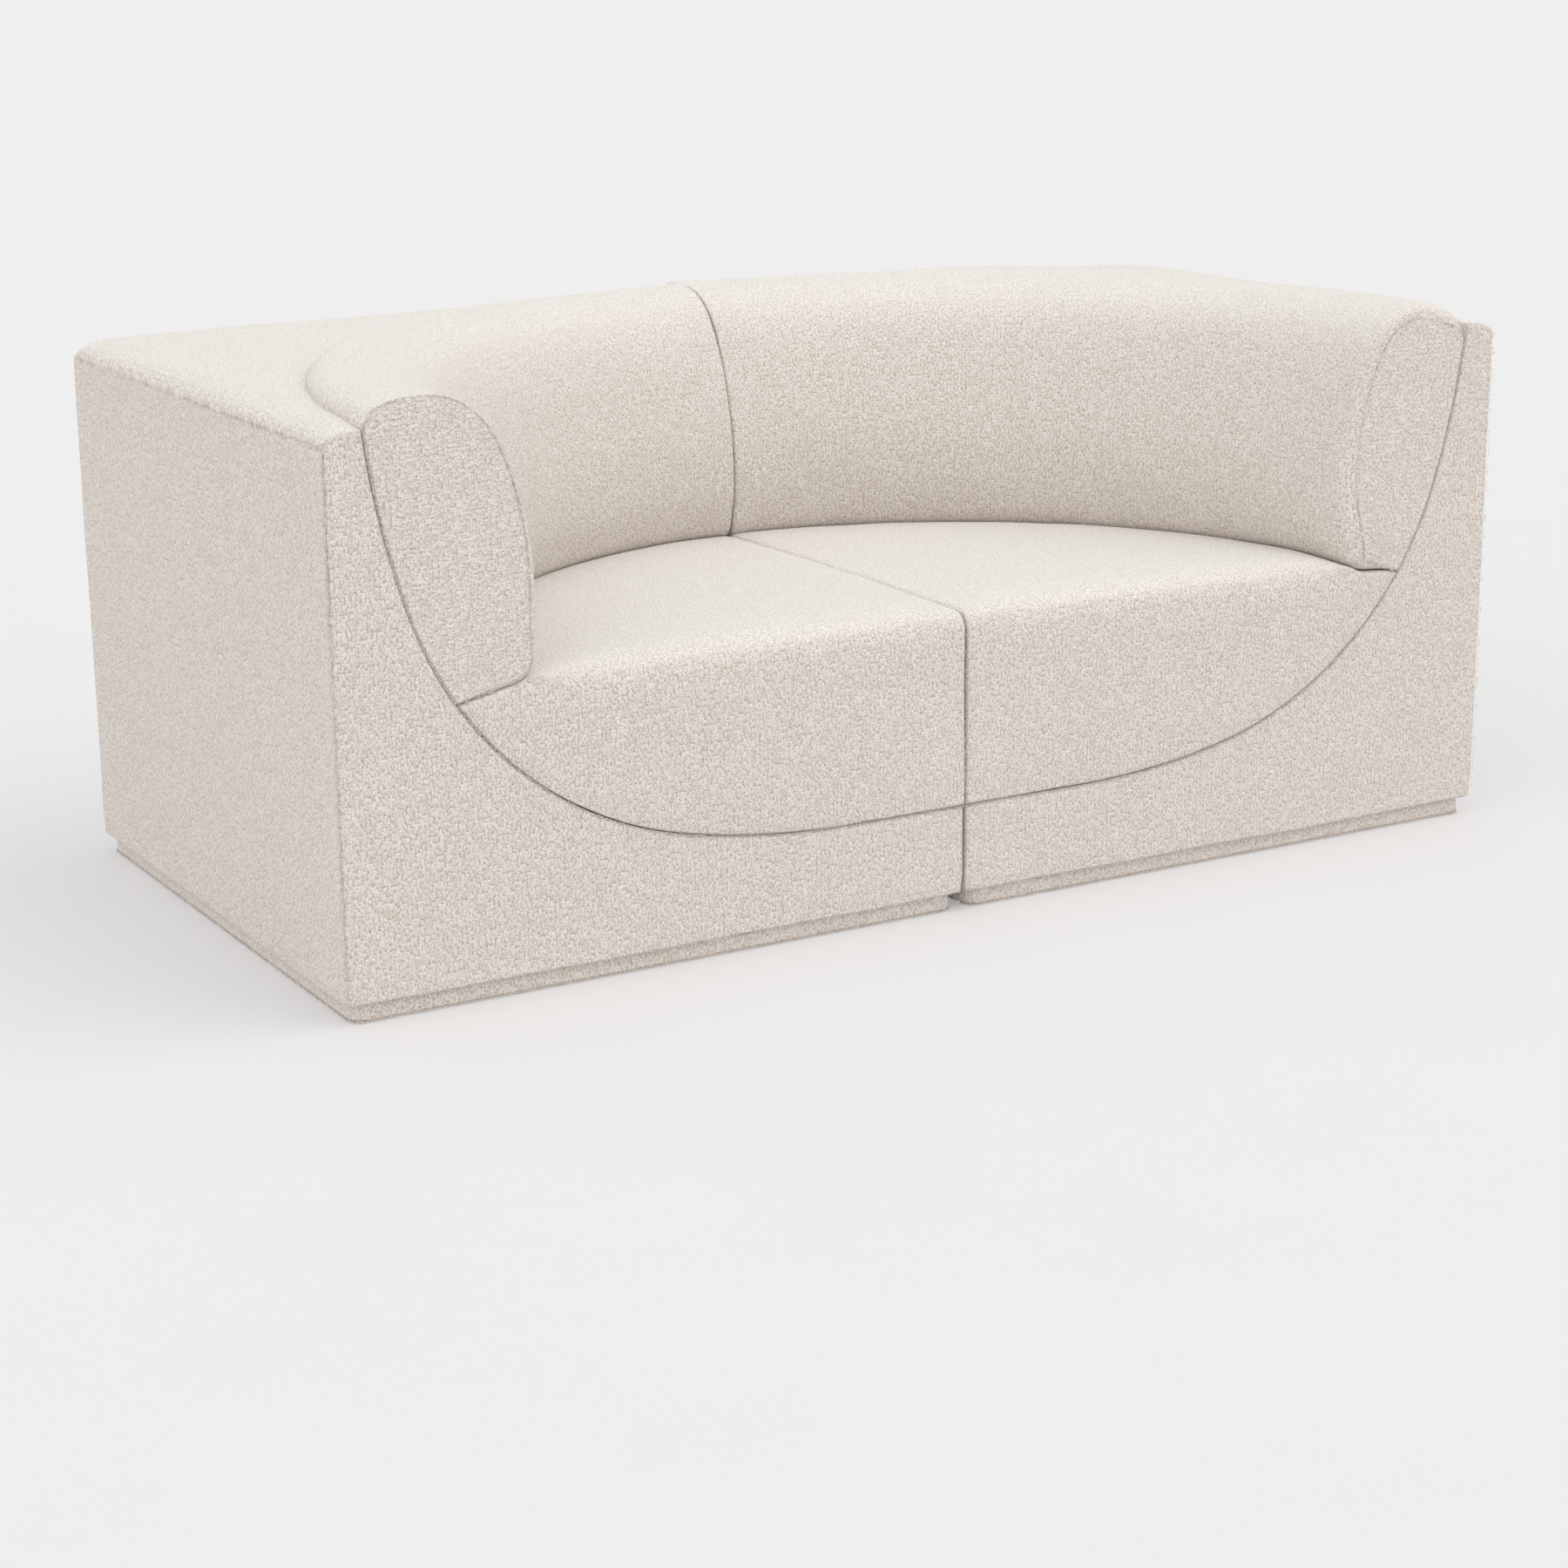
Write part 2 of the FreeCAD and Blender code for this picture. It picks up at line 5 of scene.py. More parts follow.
import bmesh
import bpy
import numpy as np
from mathutils import Matrix, Vector, kdtree, noise

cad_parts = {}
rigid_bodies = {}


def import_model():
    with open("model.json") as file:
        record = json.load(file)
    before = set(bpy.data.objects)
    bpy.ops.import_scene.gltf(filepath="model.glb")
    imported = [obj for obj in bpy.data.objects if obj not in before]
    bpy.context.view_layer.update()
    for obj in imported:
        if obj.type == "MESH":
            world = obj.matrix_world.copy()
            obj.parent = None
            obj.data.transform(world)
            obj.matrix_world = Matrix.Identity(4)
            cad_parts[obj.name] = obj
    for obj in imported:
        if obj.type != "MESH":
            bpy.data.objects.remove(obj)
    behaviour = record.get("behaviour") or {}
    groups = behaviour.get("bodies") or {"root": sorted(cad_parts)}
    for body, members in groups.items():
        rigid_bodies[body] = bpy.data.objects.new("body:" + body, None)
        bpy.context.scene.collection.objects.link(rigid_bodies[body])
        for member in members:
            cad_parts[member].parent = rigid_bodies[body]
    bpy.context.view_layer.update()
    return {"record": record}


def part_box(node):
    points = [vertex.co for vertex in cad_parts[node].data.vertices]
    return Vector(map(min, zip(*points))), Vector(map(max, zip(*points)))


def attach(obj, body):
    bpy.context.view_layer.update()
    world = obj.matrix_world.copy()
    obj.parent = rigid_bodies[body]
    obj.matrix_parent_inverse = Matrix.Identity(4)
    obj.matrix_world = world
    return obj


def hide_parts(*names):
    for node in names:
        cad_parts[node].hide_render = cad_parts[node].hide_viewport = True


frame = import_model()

# A modular sofa of two mirror-image corner modules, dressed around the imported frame.
#
# Everything is built for the right module in its own frame and mirrored for the left one. That
# frame has its origin on the floor under the module's inner front corner, where the round recess
# has its axis: a runs outwards along the front, b runs to the back, z up. Lengths are in metres,
# and MM turns millimetres into metres. A cloth map in metres gives every face its weave direction.
# The modules differ a little: in the height of their tops (lid_lift), in how their bolsters' front
# ends are sewn (END_STYLES), and in where the right bolster's end sits (sewn).

MM = 0.001

front_low, front_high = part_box("right_front_cover")
lid_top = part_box("right_top_cover")[1].z
bolster_low, bolster_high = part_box("right_bolster_cover")
plinth_low, plinth_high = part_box("right_plinth_cover")

HALF_GAP = front_low.x  # from the middle of the sofa to a joint face
FRONT = front_low.y
SIDE = front_high.x - front_low.x  # a module is square in plan
SKIRT = front_low.z  # underside of the shell
SEAM = front_high.z  # height of the seam round the top
CROWN = lid_top - SEAM

EDGE = 6 * MM  # first cell beside a seam, which keeps the edge crisp
TINY = 0.1 * MM
WELD = 0.02 * MM  # points this close are sewn into one
HOLD = 3 * MM  # cloth this close to a seam stays where it is
SMOOTHINGS = 25  # rounds of evening out after the cloth is blown up


# ---- curves of the design ----


def walk(start, heading, moves, step=4 * MM):
    """Points along a path of tangent arcs (radius, turn in degrees) and straight runs (None,
    length). A positive turn goes left. The heading is in degrees from +r towards +z."""
    points = [np.array(start, float)]
    for radius, amount in moves:
        length = amount if radius is None else radius * math.radians(abs(amount))
        count = max(2, round(length / step))
        turn = 0 if radius is None else math.radians(amount) / count
        chord = length / count if radius is None else 2 * radius * math.sin(abs(turn) / 2)
        for _ in range(count):
            middle = math.radians(heading) + turn / 2
            points.append(points[-1] + chord * np.array([math.cos(middle), math.sin(middle)]))
            heading += math.degrees(turn)
    return np.array(points)


def run_length(points):
    return np.concatenate([[0], np.cumsum(np.linalg.norm(np.diff(points, axis=0), axis=1))])


def resample(points, shares):
    """Points of a polyline at the given shares of its length."""
    points = np.asarray(points, float)
    along = run_length(points)
    at = np.asarray(shares) * along[-1]
    return np.stack([np.interp(at, along, points[:, k]) for k in range(points.shape[1])], -1)


def ease(value, low, high):
    """Rises smoothly from 0 at low to 1 at high."""
    share = np.clip((value - low) / (high - low), 0, 1)
    return share * share * (3 - 2 * share)


def graded(count, length, near=(EDGE,), far=(EDGE,)):
    """Shares from 0 to 1 in count cells, with the given short cells at either end."""
    first = np.cumsum((0, *near)) / length
    last = 1 - np.cumsum((0, *far))[::-1] / length
    inner = np.linspace(first[-1], last[0], count - len(near) - len(far) + 1)
    return np.concatenate([first, inner[1:-1], last])


# The recess wall, from its rim down to the flat floor: (radius from the axis, height).
RIM = (SIDE - 50 * MM, 715 * MM)
WALL = walk(RIM, -95, [(1.0, -13.4), (0.482, -59), (1.09, -12.6)])
WALL = np.vstack([WALL, [[0, WALL[-1, 1]]]])


def wall_height(r):
    return np.interp(r, WALL[::-1, 0], WALL[::-1, 1])


def wall_radius(z):
    return np.interp(z, WALL[:-1][::-1, 1], WALL[:-1][::-1, 0])


def wall_between(high, low):
    """The wall from one height down to another, ends included."""
    inside = WALL[(WALL[:, 1] < high - TINY) & (WALL[:, 1] > low + TINY)]
    return np.vstack([[wall_radius(high), high], inside, [wall_radius(low), low]])


FOOT = (wall_radius(bolster_low.z), bolster_low.z)  # where bolster, seat and shell meet in front
LIP_Z = lid_top - 0.5 * MM
TOP = (SIDE - 126 * MM, bolster_high.z)  # the bolster's highest point
TOE_Z = 412 * MM
TOE_ROUND = 24 * MM
OVER_THE_TOP = [(0.100, 64.4), (0.400, 25.6)]  # arcs from the top to the upright inner face
inner_face = walk(TOP, 180, OVER_THE_TOP)
inner_face = walk(TOP, 180, [*OVER_THE_TOP, (None, inner_face[-1, 1] - TOE_Z)])
TOE = (inner_face[-1, 0] + TOE_ROUND, TOE_Z)  # centre of the rounding under the inner face
CREASE_TURN = 48  # degrees round the toe to the line where the seat meets it


def toe_arc(first, last):
    turns = np.radians(np.linspace(first, last, 9))
    return np.stack([TOE[0] - TOE_ROUND * np.cos(turns), TOE[1] - TOE_ROUND * np.sin(turns)], -1)


CREASE = toe_arc(CREASE_TURN, CREASE_TURN)[0]


# ---- meshes from patches ----


def coons(near, far, left, right):
    """A grid between four curves. near and far run along its first direction, left and right
    along its second. Its points are spaced like theirs."""
    near, far, left, right = (np.asarray(c, float) for c in (near, far, left, right))

    def shares(c):
        along = run_length(c)
        return along / along[-1]

    s0, s1 = shares(near), shares(far)
    t0, t1 = shares(left), shares(right)
    t_mean = (t0 + t1)[None, :] / 2
    big_s = s0[:, None] * (1 - t_mean) + s1[:, None] * t_mean
    big_t = t0[None, :] * (1 - big_s) + t1[None, :] * big_s
    big_s, big_t = big_s[..., None], big_t[..., None]
    grid = (1 - big_t) * near[:, None] + big_t * far[:, None]
    grid = grid + (1 - big_s) * left[None] + big_s * right[None]
    corners = (1 - big_s) * (1 - big_t) * near[0] + big_s * (1 - big_t) * near[-1]
    corners = corners + (1 - big_s) * big_t * far[0] + big_s * big_t * far[-1]
    return grid - corners


def turned(profile, theta):
    """A profile of (radius, height), or one for each angle, turned about the module's axis."""
    profile = np.asarray(profile)
    if profile.ndim == 2:
        profile = np.repeat(profile[:, None], len(theta), axis=1)
    r, z = profile[..., 0], profile[..., 1]
    return np.stack([r * np.cos(theta), r * np.sin(theta), z], -1)


class Cage:
    """Patches that are sewn together where their borders meet."""

    def __init__(self):
        self.points, self.cloth, self.quads = [], [], []

    def add(self, grid, cloth):
        """One patch: points (n, m, 3) in the module's frame, and its cloth map (n, m, 2)."""
        first = sum(len(p) for p in self.points)
        n, m = grid.shape[:2]
        self.points.append(grid.reshape(-1, 3))
        self.cloth.append(np.asarray(cloth).reshape(-1, 2))
        index = first + np.arange(n * m).reshape(n, m)
        quads = np.stack([index[:-1, :-1], index[1:, :-1], index[1:, 1:], index[:-1, 1:]], -1)
        self.quads.append(quads.reshape(-1, 4))

    def mesh(self, name):
        """The sewn mesh, with its normals outwards."""
        points, cloth = np.vstack(self.points), np.vstack(self.cloth)
        quads = np.vstack(self.quads)
        made = bmesh.new()
        verts = [made.verts.new(p) for p in points]
        layer = made.loops.layers.uv.new("cloth")
        for quad in quads.tolist():
            face = made.faces.new([verts[i] for i in quad])
            face.smooth = True
            for loop, i in zip(face.loops, quad, strict=True):
                loop[layer].uv = cloth[i]
        bmesh.ops.remove_doubles(made, verts=made.verts, dist=WELD)
        bmesh.ops.recalc_face_normals(made, faces=made.faces)
        if made.calc_volume(signed=True) < 0:
            bmesh.ops.reverse_faces(made, faces=made.faces)
        mesh = bpy.data.meshes.new(name)
        made.to_mesh(mesh)
        made.free()
        return mesh


def add_object(name, mesh):
    obj = bpy.data.objects.new(name, mesh)
    bpy.context.scene.collection.objects.link(obj)
    return obj


def subdivided(mesh):
    """The mesh after one Catmull-Clark subdivision."""
    holder = add_object("holder", mesh)
    smoother = holder.modifiers.new("round", "SUBSURF")
    smoother.levels = smoother.render_levels = 1
    smoother.uv_smooth = "PRESERVE_BOUNDARIES"
    graph = bpy.context.evaluated_depsgraph_get()
    made = bpy.data.meshes.new_from_object(holder.evaluated_get(graph))
    bpy.data.objects.remove(holder)
    bpy.data.meshes.remove(mesh)
    return made


def joined(mesh, other):
    """The first mesh with the other one added to it."""
    both = bmesh.new()
    both.from_mesh(mesh)
    both.from_mesh(other)
    both.to_mesh(mesh)
    both.free()
    bpy.data.meshes.remove(other)
    return mesh


def co_of(mesh):
    flat = np.empty(len(mesh.vertices) * 3)
    mesh.vertices.foreach_get("co", flat)
    return flat.reshape(-1, 3)


def normals_of(mesh):
    flat = np.empty(len(mesh.vertices) * 3, np.float32)
    mesh.vertices.foreach_get("normal", flat)
    return flat.reshape(-1, 3).astype(float)


def set_co(mesh, points):
    mesh.vertices.foreach_set("co", np.ascontiguousarray(points, float).ravel())
    mesh.update()


# ---- fabric ----

# The painted shade along a seam grows with its depth, up to this depth.
DARKEST_SHADE_DEPTH = 2 * MM  # a seam this deep is as dark as seams get


@dataclass
class Seam:
    """A line where the fabric is drawn in. Where it has a spacing, loops of yarn bridge it."""

    line: np.ndarray
    depth: float
    width: float  # half the width of the groove
    out: tuple = ()  # the way out of the fabric
    spacing: float = 0  # of the yarn, on average


def distance_to(points, line):
    """Distance from each point to a dense line of points."""
    tree = kdtree.KDTree(len(line))
    for i, p in enumerate(line):
        tree.insert(p, i)
    tree.balance()
    return np.array([tree.find(p)[2] for p in points])


def dense(line, step=2 * MM):
    line = np.asarray(line, float)
    return resample(line, np.linspace(0, 1, max(2, int(run_length(line)[-1] / step) + 1)))


def wander(points, size, seed):
    """Smooth noise from -1 to 1 at each point, with features about that size."""
    return np.array([noise.noise(Vector(p) / size + Vector((seed, 2 * seed, -seed))) for p in points])


def press_seams(mesh, seams, seed):
    """Draws the fabric in along its seams, a little unevenly, and stores how close each point is to one
    and how deep that seam is, which the fabric's material paints as shade."""
    points, out = co_of(mesh), normals_of(mesh)
    uneven = 0.85 + 0.4 * wander(points, 14 * MM, seed)
    drop, near = np.zeros(len(points)), np.zeros(len(points))
    for seam in seams:
        shape = np.exp(-((distance_to(points, dense(seam.line)) / seam.width) ** 2))
        drop = np.maximum(drop, seam.depth * shape)
        # near holds a painted-shade weight: closeness to the seam times its share of the darkest depth.
        near = np.maximum(near, shape * min(1, seam.depth / DARKEST_SHADE_DEPTH))
    set_co(mesh, points - out * (drop * uneven)[:, None])
    mesh.attributes.new("seam", "FLOAT", "POINT").data.foreach_set("value", near.astype(np.float32))


def soften(mesh, seed, waves=((0.22, 1.4 * MM), (0.06, 0.6 * MM))):
    """The slight unevenness of upholstery over foam."""
    points = co_of(mesh)
    lift = sum(height * wander(points, size, seed + i) for i, (size, height) in enumerate(waves))
    set_co(mesh, points + normals_of(mesh) * lift[:, None])


def blown_up(mesh, held, caps, pressure=4, frames=20):
    """Blows a closed cover up as cloth, fixed where held is true. No point moves further than
    about its cap."""
    points = co_of(mesh)
    holder = add_object("holder", mesh)
    group = holder.vertex_groups.new(name="held")
    group.add(np.flatnonzero(held).tolist(), 1.0, "REPLACE")
    cloth = holder.modifiers.new("cloth", "CLOTH")
    cloth.settings.vertex_group_mass = "held"
    cloth.settings.use_pressure = True
    cloth.settings.uniform_pressure_force = pressure
    cloth.settings.effector_weights.gravity = 0
    cloth.point_cache.frame_start, cloth.point_cache.frame_end = 1, frames
    scene = bpy.context.scene
    for frame_number in range(1, frames + 1):
        scene.frame_set(frame_number)
    graph = bpy.context.evaluated_depsgraph_get()
    made = bpy.data.meshes.new_from_object(holder.evaluated_get(graph))
    moved = co_of(made) - points
    bpy.data.meshes.remove(made)
    scene.frame_set(1)
    kept = holder.data
    bpy.data.objects.remove(holder)
    size = np.linalg.norm(moved, axis=1)
    moved *= (caps * np.tanh(size / caps) / np.maximum(size, 1e-9))[:, None]
    ends = np.empty(len(kept.edges) * 2, int)
    kept.edges.foreach_get("vertices", ends)
    one, other = ends.reshape(-1, 2).T
    count = np.bincount(ends, minlength=len(points))[:, None]
    free = ~held[:, None]
    for _ in range(SMOOTHINGS):  # tension evens out the folds that the pressure leaves
        total = np.zeros_like(moved)
        np.add.at(total, one, moved[other])
        np.add.at(total, other, moved[one])
        moved = np.where(free, 0.5 * moved + 0.5 * total / count, moved)
    set_co(kept, points + moved)
    return kept


# ---- loose yarn ----

HEM_YARN = 0.62 * MM  # radius of the yarn along a cut edge
SEAM_YARN = 0.5 * MM
CLEARANCE = 0.3 * MM  # no yarn lies lower than this above the floor


def yarn_loops(feet, spans, rises, thick):
    """Half rings of yarn, each a tapered tube that reaches its span to either side of its
    foot, and rises by its rise."""
    turns = np.radians(np.linspace(0, 180, 5))[:, None]
    paths = feet[:, None] + spans[:, None] * np.cos(turns) + rises[:, None] * np.sin(turns)
    thickness = thick * np.array([0.3, 1, 1, 1, 0.3])[:, None]
    side = np.cross(spans, rises)
    side = (side / np.linalg.norm(side, axis=1, keepdims=True))[:, None]
    across = np.cross(np.gradient(paths, axis=1), side)
    across /= np.linalg.norm(across, axis=2, keepdims=True)
    yarn = Cage()
    rings = [
        paths + thickness * (math.cos(turn) * side + math.sin(turn) * across)
        for turn in np.radians([0, 90, 180, 270, 360])
    ]
    tubes = np.stack(rings, 1)
    tubes[:, :, 0], tubes[:, :, -1] = paths[:, None, 0], paths[:, None, -1]
    tubes[..., 2] = np.maximum(tubes[..., 2], CLEARANCE)
    for tube in tubes:
        yarn.add(tube, tube[..., [0, 2]])
    return yarn.mesh("yarn")


def seam_yarn(seam, seed):
    """Loops of yarn that bridge a seam here and there."""
    line = dense(seam.line, 1 * MM)
    random = np.random.default_rng(seed)
    count = int(run_length(line)[-1] / seam.spacing)
    pick = random.integers(0, len(line) - 1, count)
    tangent = line[pick + 1] - line[pick]
    tangent /= np.linalg.norm(tangent, axis=1, keepdims=True)
    out = np.array(seam.out, float)
    turn = random.uniform(0.2, 1.4, (count, 1)) * random.choice([-1, 1], (count, 1))
    size = random.uniform([0.9, 0.2], [1.7, 0.9], (count, 2)) * MM
    span = (np.cos(turn) * tangent + np.sin(turn) * np.cross(tangent, out)) * size[:, :1]
    feet = line[pick] - out * random.uniform(0.6, 1.3, (count, 1)) * MM
    return yarn_loops(feet, span, out * (size[:, 1:] + 0.7 * MM), SEAM_YARN)


# ---- the shell ----

SHOULDER = 55 * MM  # from the seam round the top to where its crown is full
ROWS_UP = 21  # cells up the outer edge of the shell
ROWS_ALONG = 24  # cells along each horizontal side, and along half of the rim
ROWS_ACROSS = 12  # cells from the outer edge to the recess
SHELL_ROUND = 5 * MM  # rounding of the shell's upright corners
SHELL_FOOT_ROUND = 11 * MM  # rounding of its lower corners
SPLIT_Z = 0.277  # height on the recess edge that faces the shell's lower outer corner
UPPER_EDGE, LOWER_EDGE = 0.60, 0.65  # about how long the recess edge is above and below it
HALF_RIM = 0.64  # about how long half of the rim of the recess is
OUTER_SWELL, INNER_SWELL = 5 * MM, 2.5 * MM  # how far the cloth may swell


def crown_share(d, reach=SHOULDER, power=2.3):
    """Rise of the top from a seam, from 0 at the seam to 1 beyond the shoulder."""
    left = 1 - np.clip(d / reach, 0, 1)
    return (1 - left**power) ** (1 / power)


def top_height(a, b):
    return SEAM + CROWN * crown_share(SIDE - a) * crown_share(SIDE - b)


def lid_lift(side, a, b):
    """How much higher the top of this module's shell lies than the plain one. The left top has
    tight shoulders and is full towards the back. The right one slopes away to its outer side."""
    if side == "left":
        reach, power = 42 * MM, 2.3
        outside = ease(a, 0.1, 0.35)
        at_joint = 5 * MM - 4 * MM * ease(b, 0.5, 0.8) * (1 - outside)
        full = at_joint + 6 * MM * ease(b, 0.1, 0.5) * outside
        full = full * ease(b, 0, 60 * MM)
    else:
        behind_front = ease(b, 0.05, 0.25)
        reach, power = 62 * MM - 17 * MM * behind_front, 2.1
        full = 7 * MM * behind_front * ease(SIDE - b, 0, 0.15) * ease(a, 0.5, 0.8)
        full = full + (9 * MM + 7 * MM * ease(a, 0.1, 0.35)) * ease(SIDE - a, 0.08, 0.35)
    share = crown_share(SIDE - a, reach, power) * crown_share(SIDE - b, reach, power)
    return SEAM + (CROWN + full) * share - top_height(a, b)


def lift_lid(points, side):
    """Moves the top, and fades out a little way down the faces under it."""
    lift = lid_lift(side, points[:, 0], points[:, 1])
    return points + np.outer(lift * ease(points[:, 2], SEAM - 30 * MM, SEAM), [0, 0, 1])


def shell_front(swap):
    """The patches of the front face, or of the joint face, which is its mirror image across the
    diagonal, with the curves that the other faces share."""
    crest = np.array([wall_radius(lid_top - 1 * MM), lid_top - 1 * MM])
    split = np.array([wall_radius(SPLIT_Z), SPLIT_Z])
    low = WALL[-1, 1]
    corner, foot_corner = np.array([SIDE, SKIRT]), np.array([0, SKIRT])
    top = graded(ROWS_ACROSS, SIDE - crest[0], (4 * MM,), (4 * MM,))
    top_a = SIDE + (crest[0] - SIDE) * top
    top_row = np.stack([top_a, SEAM + (crest[1] - SEAM) * crown_share(SIDE - top_a)], -1)
    side_z = SEAM + (SKIRT - SEAM) * graded(ROWS_UP, SEAM - SKIRT)
    outer = np.stack([np.full_like(side_z, SIDE), side_z], -1)
    upper = resample(wall_between(crest[1], split[1]), graded(ROWS_UP, UPPER_EDGE, far=()))
    diagonal = resample([corner, split], graded(ROWS_ACROSS, np.linalg.norm(corner - split)))
    first = coons(top_row, diagonal, outer, upper)
    lower_wall = WALL[WALL[:, 1] < split[1] - TINY]
    lower = resample(np.vstack([split, lower_wall]), graded(ROWS_ALONG, LOWER_EDGE, near=()))
    bottom = resample([corner, foot_corner], graded(ROWS_ALONG, SIDE))
    edge = resample([foot_corner, [0, low]], graded(ROWS_ACROSS, low - SKIRT))
    second = coons(diagonal, edge, bottom, lower)

    def put(flat):
        zero = np.zeros_like(flat[..., 0])
        order = (zero, flat[..., 0]) if swap else (flat[..., 0], zero)
        return np.stack([*order, flat[..., 1]], -1)

    lines = {"top": top_row, "outer": outer, "wall": np.vstack([upper, lower[1:]]), "bottom": bottom}
    return [put(first), put(second)], {name: put(line) for name, line in lines.items()}


def shell_cage():
    """The skin of the shell, sewn from its faces, and its seams."""
    cage = Cage()
    front_patches, front = shell_front(False)
    joint_patches, joint = shell_front(True)
    for patch in front_patches:
        cage.add(patch, patch[..., [0, 2]])
    for patch in joint_patches:
        cage.add(patch, patch[..., [1, 2]])

    # Top: between the outer edges and the recess, in two halves that meet on the diagonal.
    along = graded(ROWS_ALONG, SIDE)
    radius, rim_z = front["top"][-1, [0, 2]]
    half = graded(ROWS_ALONG, HALF_RIM, far=()) * math.pi / 4
    rim = np.stack([radius * np.cos(half), radius * np.sin(half), np.full_like(half, rim_z)], -1)
    outer_edge = np.stack([np.full_like(along, SIDE), SIDE * along, np.full_like(along, SEAM)], -1)
    corner = outer_edge[-1]
    reach = graded(ROWS_ACROSS, np.linalg.norm(corner - rim[-1]))
    lid = coons(front["top"], corner + (rim[-1] - corner) * reach[:, None], outer_edge, rim)
    lid[..., 2] = top_height(lid[..., 0], lid[..., 1])
    lid[-1, :, 2] = rim_z
    lid[:, 0] = front["top"]
    for half_lid in (lid, lid[..., [1, 0, 2]]):
        cage.add(half_lid, half_lid[..., :2])

    # Outer side, back and underside.
    wall_z, across = front["outer"][:, 2], front["bottom"][:, 0]
    side = np.stack(np.broadcast_arrays(SIDE, SIDE * along[:, None], wall_z[None]), -1)
    cage.add(side, side[..., [1, 2]])
    back = side[..., [1, 0, 2]]
    cage.add(back, back[..., [0, 2]])
    under = np.stack(np.broadcast_arrays(across[None], SIDE * along[:, None], SKIRT), -1)
    cage.add(under, under[..., :2])

    # The recess behind the cushions, turned about the axis.
    profile = front["wall"][:, [0, 2]]
    theta = np.concatenate([half, math.pi / 2 - half[::-1][1:]])
    bowl = turned(profile, theta)
    cage.add(bowl, bowl[..., :2])

    far_top, far_foot = [SIDE, SIDE, SEAM], [SIDE, SIDE, SKIRT]
    seams = [
        Seam(front["outer"], 2.2 * MM, 2.4 * MM, out=(0.7, -0.7, 0), spacing=5 * MM),
        Seam(joint["outer"], 2.0 * MM, 2.4 * MM),
        Seam([far_top, far_foot], 2.2 * MM, 2.4 * MM),
        Seam([front["outer"][0], far_top], 1.2 * MM, 2.4 * MM),
        Seam([joint["outer"][0], far_top], 2.2 * MM, 2.4 * MM),
        Seam(front["top"], 1.2 * MM, 2.0 * MM),
        Seam(front["wall"], 1.6 * MM, 2.0 * MM, out=(0, -1, 0), spacing=2 * MM),
    ]
    return cage, seams


def round_shell(mesh):
    """Rounds the shell's upright corners in plan, and more at their feet."""
    points = co_of(mesh)
    foot = np.exp(-(((points[:, 2] - SKIRT) / (16 * MM)) ** 2))
    radius = (SHELL_ROUND + (SHELL_FOOT_ROUND - SHELL_ROUND) * foot)[:, None]
    plan = points[:, :2]
    core = np.clip(plan, radius, SIDE - radius)
    out = plan - core
    size = np.linalg.norm(out, axis=1, keepdims=True)
    points[:, :2] = core + out * np.minimum(1, radius / np.maximum(size, 1e-9))
    set_co(mesh, points)


def make_shell():
    """The plain shell, blown up and rounded, and its seams."""
    cage, seams = shell_cage()
    mesh = subdivided(cage.mesh("shell"))
    points = co_of(mesh)
    held = distance_to(points, np.vstack([dense(seam.line) for seam in seams])) < HOLD
    held |= (points[:, 0] < 4 * MM) | (points[:, 2] < SKIRT + HOLD)
    r = np.hypot(points[:, 0], points[:, 1])
    held |= (np.abs(r - wall_radius(points[:, 2])) < 4 * MM) & (points[:, 1] > 0.5 * MM)
    held |= (r < RIM[0]) & (points[:, 1] > HOLD)
    outside = np.maximum(points[:, 0], points[:, 1]) > SIDE - 2 * MM
    mesh = blown_up(mesh, held, np.where(outside, OUTER_SWELL, INNER_SWELL), pressure=3)
    mesh = subdivided(mesh)
    round_shell(mesh)
    return mesh, seams


# ---- the seat ----

SEAT_CELLS = 26
SEAT_EDGE_Z = 402 * MM
FRONT_ROLL = 23 * MM  # rounding from the top to the front
JOINT_ROLL = 7 * MM  # and to the joint face
NARROWING = 70 * MM  # beside the bolster, where the front rounding grows tighter
TIGHTEST = 0.12  # as a share of its full radius
DISH = 4  # power of the rise towards the bolster
RIM_CELLS, RIM_RUNS = (8, 10), (0.12, 0.17)  # under the bolster, and down the wall
SEAT_SWELL, SEAT_TOP_SWELL = 2.5 * MM, 5.5 * MM  # how far the cloth may swell, and more on top


def roll_drop(d, radius):
    """How far a surface has dropped at distance d from the face that it rolls over to."""
    inside = np.clip(radius - d, 0, radius)
    return radius - np.sqrt(np.clip(radius**2 - inside**2, 0, None))


def roll_length(d, radius):
    """The length of cloth from that face to a point at distance d, over the roll."""
    return radius * np.arccos(np.clip(1 - d / radius, 0, 1)) + np.clip(d - radius, 0, None)


def seat_top(a, b):
    r = np.hypot(a, b)
    z = SEAT_EDGE_Z + (CREASE[1] - SEAT_EDGE_Z) * np.clip(r / CREASE[0], 0, 1) ** DISH
    squeeze = np.clip((CREASE[0] - a) / NARROWING, TIGHTEST, 1)
    return z - roll_drop(b, FRONT_ROLL * squeeze) - roll_drop(a, JOINT_ROLL)


